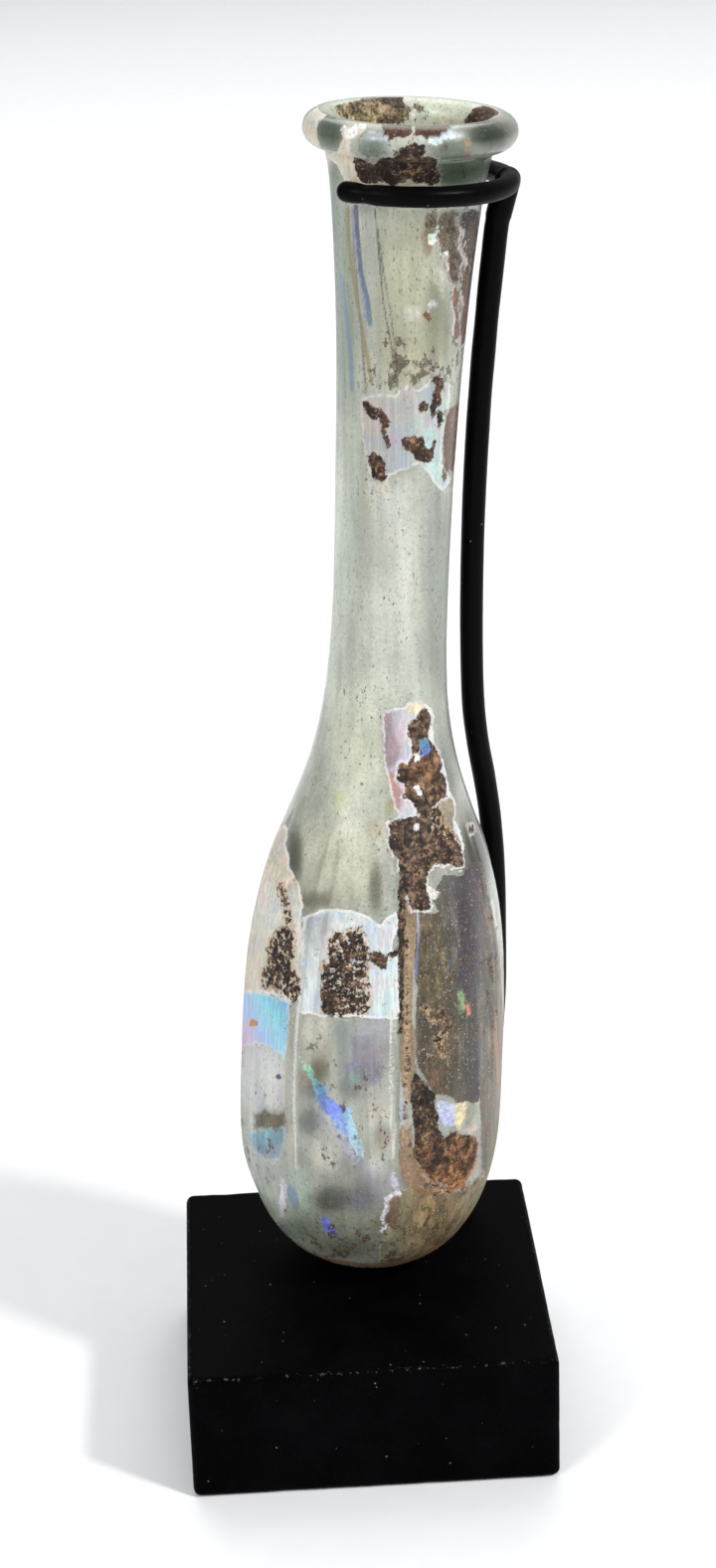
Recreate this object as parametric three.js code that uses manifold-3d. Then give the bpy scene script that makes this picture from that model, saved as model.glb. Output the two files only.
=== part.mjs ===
// A Roman glass unguentarium, a slim ribbed perfume bottle, on its display stand.
// The bottle stands on a small black block and leans a little in a round wire hook.
// Millimetres, +Z up. The origin is the middle of the block's underside, and the front faces -Y.

import * as THREE from "three";
import { mergeVertices } from "three/addons/utils/BufferGeometryUtils.js";
import Module from "manifold-3d";

const wasm = await Module();
wasm.setup();

// Driving dimensions of the block
const BLOCK_WIDTH = 50.8;
const BLOCK_DEPTH = 50.8;
const BLOCK_HEIGHT = 19.05;
const BLOCK_EDGE = 0.8; // radius of the sanded edges
const BLOCK_CORNER = 1.5; // radius of the four upright corners

// Where the bottle stands on the block, and how it leans there
const BOTTLE_RIGHT_OF_MIDDLE = 0.965;
const BOTTLE_BEHIND_MIDDLE = 7.1;
const LEAN_RIGHT = 0.055; // sideways run for each millimetre along the axis
const LEAN_BACK = 0.011;
const NECK_BOW = 1.39; // sideways bow that the axis has gained at the rim
const SEAT_GAP = 0.45; // clearance under the rounded foot, which the lean brings down at one side

// Driving dimensions of the bottle, with heights along its axis
const BOTTLE_HEIGHT = 163.2;
const BODY_RADIUS = 18.4;
const HEEL_HEIGHT = 26; // the rounded lower end grows up to here
const HEEL_SQUARENESS = 2.45; // 2 is an ellipse, more is squarer
const FOOT_RADIUS = 2; // flat spot in the middle of the foot
const SHOULDER_HEIGHT = 67.75; // middle of the slope from body to neck
const SHOULDER_SPREAD = 7.3;
const NECK_RADIUS = 7.34;
const NECK_FLARE = 3.4; // how far the neck widens up to the rim
const NECK_FLARE_LENGTH = 23.3;
const LIP_FLARE = 1.25; // the sharper turn just under the rim
const LIP_FLARE_LENGTH = 2.2;
const RIM_RADIUS = 13.7;
const RIM_ROLL_RADIUS = 2.2;
const WALL = 1.25;
const BASE_THICKNESS = 2.6;

// Driving dimensions of the pinched ribs on the body
const RIB_TURNS = [-83, -36, 11, 59, 103, 146, 190, 233]; // degrees, drawn by hand and so uneven
const RIB_WIDTH = 1.7;
const RIB_HEIGHT = 0.45;
const GROOVE_WIDTH = 1.6; // the crease along one side of each rib
const GROOVE_DEPTH = 0.3;
const RIB_FOOT = 9;
const RIB_TOP = 71;
const RIB_FADE = 9; // length over which a rib dies away at each end

// Driving dimensions of the hook and its upright
const ROD_DIAMETER = 3.2;
const WIRE_DIAMETER = 2.7;
const RING_HEIGHT = 154.7; // height of the hook along the bottle's axis
const RING_CLEARANCE = 1.55; // between the neck and the wire
const RING_OPEN_TURN = -40; // the hook's free end, left of the front
const RING_BACK_TURN = 190; // its other end, behind the neck
const ROOT_TURN = 129.5; // the rod's foot in the block, seen from the bottle's foot
const ROOT_DISTANCE = 18.7;
const ROOT_DEPTH = 11;
const ROOT_CLEARANCE = 0.3;

// How the rod passes the bottle, from the block up: height along the axis, turn round the
// axis from the front, and the gap that it leaves to the glass
const ROD_STATIONS = [
  { height: 9, turn: 127, gap: 2.5 },
  { height: 17, turn: 124.6, gap: 1.5 },
  { height: 26, turn: 122.5, gap: 1.45 },
  { height: 35, turn: 121.3, gap: 1.45 },
  { height: 44, turn: 121, gap: 1.25 },
  { height: 54, turn: 121, gap: 1.5 },
  { height: 63, turn: 120, gap: 2.4 },
  { height: 70, turn: 118, gap: 3.1 },
  { height: 76, turn: 114, gap: 3 },
  { height: 82, turn: 111, gap: 2.9 },
  { height: 93, turn: 109, gap: 2.8 },
  { height: 109, turn: 107.5, gap: 2.2 },
  { height: 124, turn: 105, gap: 1.7 },
  { height: 135, turn: 102, gap: 1.4 },
  { height: 144, turn: 99.4, gap: 1.15 },
];

// How the rod's upper end turns into the hook: turns back from the last station, and shares of a diameter
const LAST_STATION = ROD_STATIONS[ROD_STATIONS.length - 1];
const UNDER_HOOK_TURN_BACK = 2.9; // degrees
const UNDER_HOOK_DROP = 1.5; // of the rod, below the hook
const UNDER_HOOK_INSET = 1 / 3; // of the wire, towards the neck
const IN_HOOK_TURN_BACK = 4.9; // degrees
const IN_HOOK_DROP = 1 / 8; // of the rod, below the hook's middle

// How finely the curved surfaces are divided
const STEPS = { betweenRibs: 3, roll: 9, rodSides: 12, wireSides: 10, rod: 34, ring: 22, blockCorner: 3 };
const OUTSIDE_ROWS = { heel: 8, body: 3, shoulder: 10, neck: 7, flare: 3 };
const INSIDE_ROWS = { heel: 5, body: 2, shoulder: 8, neck: 3, flare: 2 };

// Where rows of the wall start to lie closer, and where that ends
const SHOULDER_ROWS_BELOW = 2.4; // shoulder spreads under the middle of the shoulder
const SHOULDER_ROWS_ABOVE = 3.9; // shoulder spreads over it
const FLARE_ROWS_BELOW = 4.5; // lip flare lengths under the middle of the rolled rim
const FLARE_ROWS_GAP = 1.1; // roll radii that the last of them stays under that middle

const MATERIALS = {
  glass: { color: 0xb4bfa8, roughness: 0.35, metalness: 0 },
  block: { color: 0x121214, roughness: 0.5, metalness: 0 },
  wire: { color: 0x0e0f11, roughness: 0.4, metalness: 0.2 },
};

const radians = THREE.MathUtils.degToRad;
const smooth = THREE.MathUtils.smoothstep;

// The bottle's axis and the two directions across it
const AXIS_RISE = Math.sqrt(1 - LEAN_RIGHT ** 2 - LEAN_BACK ** 2);
const ALONG = new THREE.Vector3(LEAN_RIGHT, LEAN_BACK, AXIS_RISE);
const RIGHT = new THREE.Vector3(1, 0, 0).addScaledVector(ALONG, -LEAN_RIGHT).normalize();
const BACK = new THREE.Vector3().crossVectors(ALONG, RIGHT);

// The point of the gently bowed axis at a height along it
function axisPoint(height) {
  const bow = NECK_BOW * (height / BOTTLE_HEIGHT) ** 2;
  return new THREE.Vector3(
    BOTTLE_RIGHT_OF_MIDDLE + LEAN_RIGHT * height + bow,
    BOTTLE_BEHIND_MIDDLE + LEAN_BACK * height,
    BLOCK_HEIGHT + SEAT_GAP + AXIS_RISE * height,
  );
}

// The point at a distance from the axis, turned from the front towards the right
function pointAround(height, distance, turn) {
  return axisPoint(height)
    .addScaledVector(RIGHT, distance * Math.sin(radians(turn)))
    .addScaledVector(BACK, -distance * Math.cos(radians(turn)));
}

// The outside without its heel: body, S-shaped shoulder, slim neck, and a flare under the rim
function sideRadius(height) {
  const shoulder = (BODY_RADIUS - NECK_RADIUS) / (1 + Math.exp((height - SHOULDER_HEIGHT) / SHOULDER_SPREAD));
  const belowRim = Math.max(BOTTLE_HEIGHT - RIM_ROLL_RADIUS - height, 0);
  const flare = NECK_FLARE * Math.exp(-belowRim / NECK_FLARE_LENGTH);
  const lip = LIP_FLARE * Math.exp(-belowRim / LIP_FLARE_LENGTH);
  return NECK_RADIUS + shoulder + flare + lip;
}

// The rounded lower end: a squared ellipse that grows from the foot to the side
function roundedEnd(height, floor, footRadius, side) {
  const rise = Math.min((height - floor) / (HEEL_HEIGHT - floor), 1);
  const share = (1 - (1 - rise) ** HEEL_SQUARENESS) ** (1 / HEEL_SQUARENESS);
  return footRadius + (side - footRadius) * share;
}

function outerRadius(height) {
  return roundedEnd(height, 0, FOOT_RADIUS, sideRadius(height));
}

function innerRadius(height) {
  return roundedEnd(height, BASE_THICKNESS, FOOT_RADIUS, sideRadius(height) - WALL);
}

// Evenly spaced heights after the first, up to the last
function heightsBetween(first, last, count) {
  return Array.from({ length: count }, (_, i) => first + ((last - first) * (i + 1)) / count);
}

// Heights that start close together at a floor and spread towards the top of the heel
function heelHeights(floor, count) {
  const share = (i) => 1 - Math.cos((Math.PI / 2) * (i / count));
  return Array.from({ length: count + 1 }, (_, i) => floor + (HEEL_HEIGHT - floor) * share(i));
}

// The section through the wall, from the outside of the foot over the rim to the inside
function bottleSection() {
  const shoulderFoot = SHOULDER_HEIGHT - SHOULDER_ROWS_BELOW * SHOULDER_SPREAD;
  const shoulderTop = SHOULDER_HEIGHT + SHOULDER_ROWS_ABOVE * SHOULDER_SPREAD;
  const rollHeight = BOTTLE_HEIGHT - RIM_ROLL_RADIUS;
  const rollDistance = RIM_RADIUS - RIM_ROLL_RADIUS;
  const flareFoot = rollHeight - FLARE_ROWS_BELOW * LIP_FLARE_LENGTH;
  const flareTop = rollHeight - FLARE_ROWS_GAP * RIM_ROLL_RADIUS;
  const upTheSide = (rows, floor) => [
    ...heelHeights(floor, rows.heel),
    ...heightsBetween(HEEL_HEIGHT, shoulderFoot, rows.body),
    ...heightsBetween(shoulderFoot, shoulderTop, rows.shoulder),
    ...heightsBetween(shoulderTop, flareFoot, rows.neck),
    ...heightsBetween(flareFoot, flareTop, rows.flare),
  ];
  const outside = upTheSide(OUTSIDE_ROWS, 0).map((height) => ({
    radius: outerRadius(height),
    height,
    ribbed: true,
  }));
  const roll = Array.from({ length: STEPS.roll + 1 }, (_, i) => {
    const turn = radians(-90 + (270 * i) / STEPS.roll);
    return {
      radius: rollDistance + RIM_ROLL_RADIUS * Math.cos(turn),
      height: rollHeight + RIM_ROLL_RADIUS * Math.sin(turn),
      ribbed: false,
    };
  });
  const inside = upTheSide(INSIDE_ROWS, BASE_THICKNESS).map((height) => ({
    radius: innerRadius(height),
    height,
    ribbed: false,
  }));
  const foot = { radius: 0, height: 0, ribbed: false };
  const floor = { radius: 0, height: BASE_THICKNESS, ribbed: false };
  return [foot, ...outside, ...roll, ...inside.reverse(), floor];
}

// The turns at which the wall is sampled: close together at each rib and its crease
function bottleMeridians() {
  const perMillimetre = 360 / (2 * Math.PI * BODY_RADIUS);
  const rib = RIB_WIDTH * perMillimetre;
  const groove = GROOVE_WIDTH * perMillimetre;
  return RIB_TURNS.flatMap((turn, i) => {
    const next = i + 1 < RIB_TURNS.length ? RIB_TURNS[i + 1] : RIB_TURNS[0] + 360;
    const plainFrom = turn + rib / 2 + groove;
    const plainTo = next - rib / 2;
    const plain = Array.from({ length: STEPS.betweenRibs }, (_, k) => ({
      turn: plainFrom + ((plainTo - plainFrom) * (k + 1)) / (STEPS.betweenRibs + 1),
      relief: 0,
    }));
    return [
      { turn: turn - rib / 2, relief: 0 },
      { turn, relief: RIB_HEIGHT },
      { turn: turn + rib / 2, relief: 0 },
      { turn: turn + rib / 2 + groove / 2, relief: -GROOVE_DEPTH },
      { turn: plainFrom, relief: 0 },
      ...plain,
    ];
  });
}

// A closed mesh of merged vertices as a solid that can be joined and cut
function toSolid(geometry) {
  const plain = geometry.clone();
  plain.deleteAttribute("normal");
  plain.deleteAttribute("uv");
  const merged = mergeVertices(plain);
  return new wasm.Manifold(
    new wasm.Mesh({
      numProp: 3,
      vertProperties: new Float32Array(merged.attributes.position.array),
      triVerts: new Uint32Array(merged.index.array),
    }),
  );
}

// The triangles of a solid as a geometry
function toGeometry(solid) {
  const mesh = solid.getMesh();
  const geometry = new THREE.BufferGeometry();
  geometry.setAttribute("position", new THREE.BufferAttribute(new Float32Array(mesh.vertProperties), 3));
  geometry.setIndex(new THREE.BufferAttribute(new Uint32Array(mesh.triVerts), 1));
  geometry.computeVertexNormals();
  return geometry;
}

function namedMesh(name, solid, look) {
  const mesh = new THREE.Mesh(toGeometry(solid), new THREE.MeshStandardMaterial(look));
  mesh.name = name;
  return mesh;
}

// The hollow bottle: a turned wall whose vertices follow the leaning axis and the ribs
function bottleSolid() {
  const section = bottleSection();
  const meridians = bottleMeridians();
  const turned = new THREE.LatheGeometry(
    section.map(({ radius, height }) => new THREE.Vector2(radius, height)),
    meridians.length,
  );
  const position = turned.attributes.position;
  for (let i = 0; i <= meridians.length; i += 1) {
    const { turn, relief } = meridians[i % meridians.length];
    section.forEach(({ radius, height, ribbed }, j) => {
      const grown = smooth(height, RIB_FOOT, RIB_FOOT + RIB_FADE);
      const faded = 1 - smooth(height, RIB_TOP - RIB_FADE, RIB_TOP);
      const rib = ribbed ? relief * grown * faded : 0;
      const point = pointAround(height, radius + rib, turn);
      position.setXYZ(i * section.length + j, point.x, point.y, point.z);
    });
  }
  return toSolid(turned);
}

// A round bar of a given diameter along a curve
function roundBar(curve, diameter, sides, steps) {
  const section = new THREE.Shape(
    Array.from({ length: sides }, (_, i) => {
      const turn = (2 * Math.PI * i) / sides;
      return new THREE.Vector2(Math.cos(turn), Math.sin(turn)).multiplyScalar(diameter / 2);
    }),
  );
  return toSolid(new THREE.ExtrudeGeometry(section, { steps, extrudePath: curve, bevelEnabled: false }));
}

// A rounded end for a bar
function roundEnd(point, diameter, sides) {
  const ball = new THREE.SphereGeometry(diameter / 2, sides, sides / 2);
  return toSolid(ball.translate(point.x, point.y, point.z));
}

// The distance from the axis at which the hook's wire runs
const RING_DISTANCE = outerRadius(RING_HEIGHT) + RING_CLEARANCE + WIRE_DIAMETER / 2;

// The hook's centre line, an arc round the neck from its free end to the back
class HookArc extends THREE.Curve {
  getPoint(share, target = new THREE.Vector3()) {
    const turn = RING_OPEN_TURN + (RING_BACK_TURN - RING_OPEN_TURN) * share;
    return target.copy(pointAround(RING_HEIGHT, RING_DISTANCE, turn));
  }
}

// The middle of the rod's foot at the height of the bottle's foot
function rootPoint() {
  const point = pointAround(0, ROOT_DISTANCE, ROOT_TURN);
  point.z = BLOCK_HEIGHT;
  return point;
}

// The rod's centre line: up out of the block, round the body, along the neck and into the hook
function rodCurve() {
  const root = rootPoint();
  const passing = ROD_STATIONS.map(({ height, turn, gap }) =>
    pointAround(height, outerRadius(height) + gap + ROD_DIAMETER / 2, turn),
  );
  const underHook = pointAround(
    RING_HEIGHT - UNDER_HOOK_DROP * ROD_DIAMETER,
    RING_DISTANCE - UNDER_HOOK_INSET * WIRE_DIAMETER,
    LAST_STATION.turn - UNDER_HOOK_TURN_BACK,
  );
  const inHook = pointAround(RING_HEIGHT - IN_HOOK_DROP * ROD_DIAMETER, RING_DISTANCE, LAST_STATION.turn - IN_HOOK_TURN_BACK);
  return new THREE.CatmullRomCurve3([
    root.clone().setZ(BLOCK_HEIGHT - ROOT_DEPTH),
    root,
    ...passing,
    underHook,
    inHook,
  ]);
}

// The hook and its upright, brazed together
function wireSolid() {
  const rod = rodCurve();
  const hook = new HookArc();
  const joint = roundEnd(rod.getPoint(1), ROD_DIAMETER, STEPS.rodSides);
  const freeEnd = roundEnd(hook.getPoint(0), WIRE_DIAMETER, STEPS.wireSides);
  const backEnd = roundEnd(hook.getPoint(1), WIRE_DIAMETER, STEPS.wireSides);
  return roundBar(rod, ROD_DIAMETER, STEPS.rodSides, STEPS.rod)
    .add(roundBar(hook, WIRE_DIAMETER, STEPS.wireSides, STEPS.ring))
    .add(joint)
    .add(freeEnd)
    .add(backEnd);
}

// The block with sanded edges and a blind hole for the rod
function blockSolid() {
  const inset = BLOCK_CORNER;
  const halfWidth = BLOCK_WIDTH / 2;
  const halfDepth = BLOCK_DEPTH / 2;
  const outline = new THREE.Shape();
  outline.moveTo(-halfWidth + inset, -halfDepth);
  outline.absarc(halfWidth - inset, -halfDepth + inset, inset, radians(-90), 0);
  outline.absarc(halfWidth - inset, halfDepth - inset, inset, 0, radians(90));
  outline.absarc(-halfWidth + inset, halfDepth - inset, inset, radians(90), radians(180));
  outline.absarc(-halfWidth + inset, -halfDepth + inset, inset, radians(180), radians(270));
  const body = new THREE.ExtrudeGeometry(outline, {
    depth: BLOCK_HEIGHT - 2 * BLOCK_EDGE,
    curveSegments: STEPS.blockCorner,
    bevelEnabled: true,
    bevelThickness: BLOCK_EDGE,
    bevelSize: BLOCK_EDGE,
    bevelOffset: -BLOCK_EDGE,
    bevelSegments: STEPS.blockCorner,
  });
  body.translate(0, 0, BLOCK_EDGE);
  const holeDepth = ROOT_DEPTH + ROOT_CLEARANCE;
  const hole = new THREE.CylinderGeometry(
    ROD_DIAMETER / 2 + ROOT_CLEARANCE,
    ROD_DIAMETER / 2 + ROOT_CLEARANCE,
    2 * holeDepth,
    STEPS.rodSides,
  );
  const root = rootPoint();
  hole.rotateX(radians(90)).translate(root.x, root.y, BLOCK_HEIGHT);
  return toSolid(body).subtract(toSolid(hole));
}

const unguentarium = new THREE.Group();
unguentarium.add(
  namedMesh("glass_bottle", bottleSolid(), MATERIALS.glass),
  namedMesh("base_block", blockSolid(), MATERIALS.block),
  namedMesh("wire_support", wireSolid(), MATERIALS.wire),
);

export default unguentarium;
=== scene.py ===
"""A small Roman bottle of pale green glass, weathered and flaking, held by a wire hook on a black block.

The bottle is one closed shell with a true wall. Its weathering, with some painted shade and painted
highlights, is drawn as patches in the pixels of the photograph and laid on the wall through the camera, so
each patch keeps its own edge, ink and thickness.
"""

import logging
import math
from dataclasses import dataclass, field
from enum import Enum

import bmesh
import bpy
import numpy as np
from mathutils import Matrix


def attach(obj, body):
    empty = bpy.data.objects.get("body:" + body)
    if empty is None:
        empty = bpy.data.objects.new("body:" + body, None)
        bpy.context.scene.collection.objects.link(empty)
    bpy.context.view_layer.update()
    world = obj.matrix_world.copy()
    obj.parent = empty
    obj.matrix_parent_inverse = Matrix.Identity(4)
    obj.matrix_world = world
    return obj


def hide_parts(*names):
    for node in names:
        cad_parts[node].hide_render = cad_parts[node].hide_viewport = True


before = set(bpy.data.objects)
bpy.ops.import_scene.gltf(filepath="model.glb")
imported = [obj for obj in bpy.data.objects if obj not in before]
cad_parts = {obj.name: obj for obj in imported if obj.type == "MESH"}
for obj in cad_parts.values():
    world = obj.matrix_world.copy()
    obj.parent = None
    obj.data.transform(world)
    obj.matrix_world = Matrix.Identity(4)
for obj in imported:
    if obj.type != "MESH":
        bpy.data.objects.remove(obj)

LOG = logging.getLogger("scene")
MM = 0.001
TINY = 1e-9
ROOT = "root"

Points = tuple[tuple[float, float], ...]
Ink = tuple[int, int, int]
Stop = tuple[float, Ink]
Socket = bpy.types.NodeSocket


def linear(ink: Ink) -> tuple[float, float, float]:
    """The linear colour of an sRGB ink of 0 to 255."""
    red, green, blue = (((c / 255 + 0.055) / 1.055) ** 2.4 if c > 10 else c / 255 / 12.92 for c in ink)
    return red, green, blue


def smooth(value: np.ndarray, low: float, high: float) -> np.ndarray:
    """A soft step from 0 at low to 1 at high."""
    share = np.clip((value - low) / (high - low), 0, 1)
    return share * share * (3 - 2 * share)


def placed(right: np.ndarray, up: np.ndarray, back: np.ndarray, place: np.ndarray) -> Matrix:
    """The matrix of a camera or light with these directions, at a place in metres."""
    matrix = np.eye(4)
    matrix[:3] = np.stack([right, up, back, place], axis=1)
    return Matrix(matrix.tolist())


# The photograph's camera


@dataclass(frozen=True)
class PhotoView:
    """The pinhole camera that took the photograph, in millimetres, degrees and pixels."""

    width: int = 720
    height: int = 1577
    focal: float = 3050.8
    centre: tuple[float, float] = (360.0, 788.5)
    place: tuple[float, float, float] = (-14.44, -376.23, 248.89)
    pitch: float = 22.251
    yaw: float = 2.424
    roll: float = -1.857
    sensor: float = 36.0
    nearest: float = 0.01
    farthest: float = 30.0

    def axes(self) -> np.ndarray:
        """The camera's right, up and forward directions as the rows of a matrix."""
        pitch, yaw, roll = (math.radians(a) for a in (self.pitch, self.yaw, self.roll))
        level = np.array([math.sin(yaw), math.cos(yaw), 0.0])
        forward = math.cos(pitch) * level - math.sin(pitch) * np.array([0.0, 0.0, 1.0])
        right = np.array([math.cos(yaw), -math.sin(yaw), 0.0])
        up = np.cross(right, forward)
        rolled_right = math.cos(roll) * right + math.sin(roll) * up
        rolled_up = math.cos(roll) * up - math.sin(roll) * right
        return np.stack([rolled_right, rolled_up, forward])

    def project(self, points: np.ndarray) -> np.ndarray:
        """Where points fall in the photograph.

        Args:
            points: An array of points in millimetres, with x, y, z last.

        Returns:
            The same array with the photograph's x and y in pixels last.
        """
        seen = (points - np.array(self.place)) @ self.axes().T
        x = self.centre[0] + self.focal * seen[..., 0] / seen[..., 2]
        y = self.centre[1] - self.focal * seen[..., 1] / seen[..., 2]
        return np.stack([x, y], axis=-1)

    def make(self) -> bpy.types.Object:
        """Adds the camera to the scene and makes it the active one."""
        data = bpy.data.cameras.new("photo_camera")
        data.sensor_fit = "VERTICAL"
        data.sensor_height = self.sensor
        data.lens = self.focal * self.sensor / self.height
        data.clip_start, data.clip_end = self.nearest, self.farthest
        camera = bpy.data.objects.new("photo_camera", data)
        right, up, forward = self.axes()
        camera.matrix_world = placed(right, up, -forward, np.array(self.place) * MM)
        bpy.context.scene.collection.objects.link(camera)
        bpy.context.scene.camera = camera
        return camera


# Noise for meshes


@dataclass
class ValueNoise:
    """Seeded noise of -1 to 1 on a lattice that repeats, smoothly interpolated."""

    seed: int
    cells: int = 48
    octave_shift: float = 7.3
    octave_sum: float = 1.6
    table: np.ndarray = field(init=False)

    def __post_init__(self) -> None:
        """Draws the lattice once."""
        self.table = np.random.default_rng(self.seed).uniform(-1, 1, (self.cells,) * 3)

    def at(self, points: np.ndarray, grain: float) -> np.ndarray:
        """The noise at points, each lattice cell a grain wide.

        Args:
            points: Points in millimetres, with x, y, z last.
            grain: The width of a cell in millimetres.

        Returns:
            One value for each point.
        """
        place = points / grain
        cell = np.floor(place).astype(int)
        share = place - cell
        share = share * share * (3 - 2 * share)
        total = np.zeros(points.shape[:-1])
        for corner in np.ndindex(2, 2, 2):
            index = tuple((cell[..., k] + corner[k]) % self.cells for k in range(3))
            weight = np.prod([share[..., k] if corner[k] else 1 - share[..., k] for k in range(3)], axis=0)
            total += weight * self.table[index]
        return total

    def rough(self, points: np.ndarray, grain: float, octaves: int = 3) -> np.ndarray:
        """Noise with finer noise on it, each octave half as wide and half as strong."""
        layers = (self.at(points + self.octave_shift * k, grain / 2**k) / 2**k for k in range(octaves))
        return sum(layers) / self.octave_sum


# Meshes from arrays


def mesh_object(name: str, points: np.ndarray, faces: np.ndarray | list) -> bpy.types.Object:
    """A smooth-shaded object from points in millimetres and faces of their indices.

    Args:
        name: The name of the piece.
        points: One row of x, y, z for each vertex.
        faces: Rows of vertex indices, turned so that they face outward.

    Returns:
        The new object, at the origin.
    """
    mesh = bpy.data.meshes.new(name)
    rows = faces.tolist() if isinstance(faces, np.ndarray) else faces
    mesh.from_pydata((points * MM).tolist(), [], rows)
    mesh.polygons.foreach_set("use_smooth", [True] * len(mesh.polygons))
    mesh.update()
    piece = bpy.data.objects.new(name, mesh)
    bpy.context.scene.collection.objects.link(piece)
    return piece


def closed_faces(rows: int, columns: int) -> list[list[int]]:
    """Faces of a grid that closes on itself across its columns, and is closed by a middle point at each end.

    Args:
        rows: How many rows the grid has, running up.
        columns: How many points a row has, running anticlockwise.

    Returns:
        The quads, then the triangles to the middles of both ends, whose points follow the grid's.
    """
    row, column = np.meshgrid(np.arange(rows - 1) * columns, np.arange(columns), indexing="ij")
    ahead = (column + 1) % columns
    above = row + columns
    quads = np.stack([c.ravel() for c in (row + column, row + ahead, above + ahead, above + column)], axis=1)
    count = rows * columns
    ring = np.arange(columns)
    after = (ring + 1) % columns
    last = count - columns
    first_end = np.stack([np.full(columns, count), after, ring], axis=1)
    last_end = np.stack([np.full(columns, count + 1), last + ring, last + after], axis=1)
    return [*quads.tolist(), *first_end.tolist(), *last_end.tolist()]


def set_numbers(piece: bpy.types.Object, name: str, numbers: np.ndarray) -> None:
    """Gives each vertex of a piece a number under a name."""
    attribute = piece.data.attributes.new(name, "FLOAT", "POINT")
    attribute.data.foreach_set("value", numbers.astype(np.float32))


def set_colours(piece: bpy.types.Object, name: str, colours: np.ndarray) -> None:
    """Gives each vertex of a piece a colour and its fourth value under a name."""
    attribute = piece.data.attributes.new(name, "FLOAT_COLOR", "POINT")
    attribute.data.foreach_set("color", colours.astype(np.float32).ravel())


def turn_outward(piece: bpy.types.Object, merge: float | None = None) -> None:
    """Makes a closed mesh face outward, after merging points nearer than a distance in mm, if given."""
    work = bmesh.new()
    work.from_mesh(piece.data)
    if merge is not None:
        bmesh.ops.remove_doubles(work, verts=work.verts, dist=merge * MM)
    bmesh.ops.recalc_face_normals(work, faces=work.faces)
    work.to_mesh(piece.data)
    work.free()
    piece.data.polygons.foreach_set("use_smooth", [True] * len(piece.data.polygons))


def spaced(path: np.ndarray, count: int) -> np.ndarray:
    """A path of points resampled to a count of points that lie evenly along it."""
    lengths = np.concatenate([[0], np.cumsum(np.linalg.norm(np.diff(path, axis=0), axis=1))])
    even = np.linspace(0, lengths[-1], count)
    return np.stack([np.interp(even, lengths, path[:, k]) for k in range(path.shape[1])], axis=1)


def catmull_rom(stations: np.ndarray, steps: int) -> np.ndarray:
    """A smooth curve through stations, a centripetal Catmull-Rom spline, with steps between two stations."""
    ends = np.vstack([2 * stations[0] - stations[1], stations, 2 * stations[-1] - stations[-2]])
    share = np.linspace(0, 1, steps, endpoint=False)[:, None]
    pieces = []
    for a, b, c, d in zip(ends, ends[1:], ends[2:], ends[3:]):
        gaps = [max(np.linalg.norm(q - p) ** 0.5, TINY) for p, q in ((a, b), (b, c), (c, d))]
        leave = ((b - a) / gaps[0] - (c - a) / (gaps[0] + gaps[1]) + (c - b) / gaps[1]) * gaps[1]
        enter = ((c - b) / gaps[1] - (d - b) / (gaps[1] + gaps[2]) + (d - c) / gaps[2]) * gaps[1]
        cubic = 2 * (b - c) + leave + enter
        square = 3 * (c - b) - 2 * leave - enter
        pieces.append(b + leave * share + square * share**2 + cubic * share**3)
    return np.vstack([*pieces, stations[-1:]])


# The bottle's form


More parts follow.
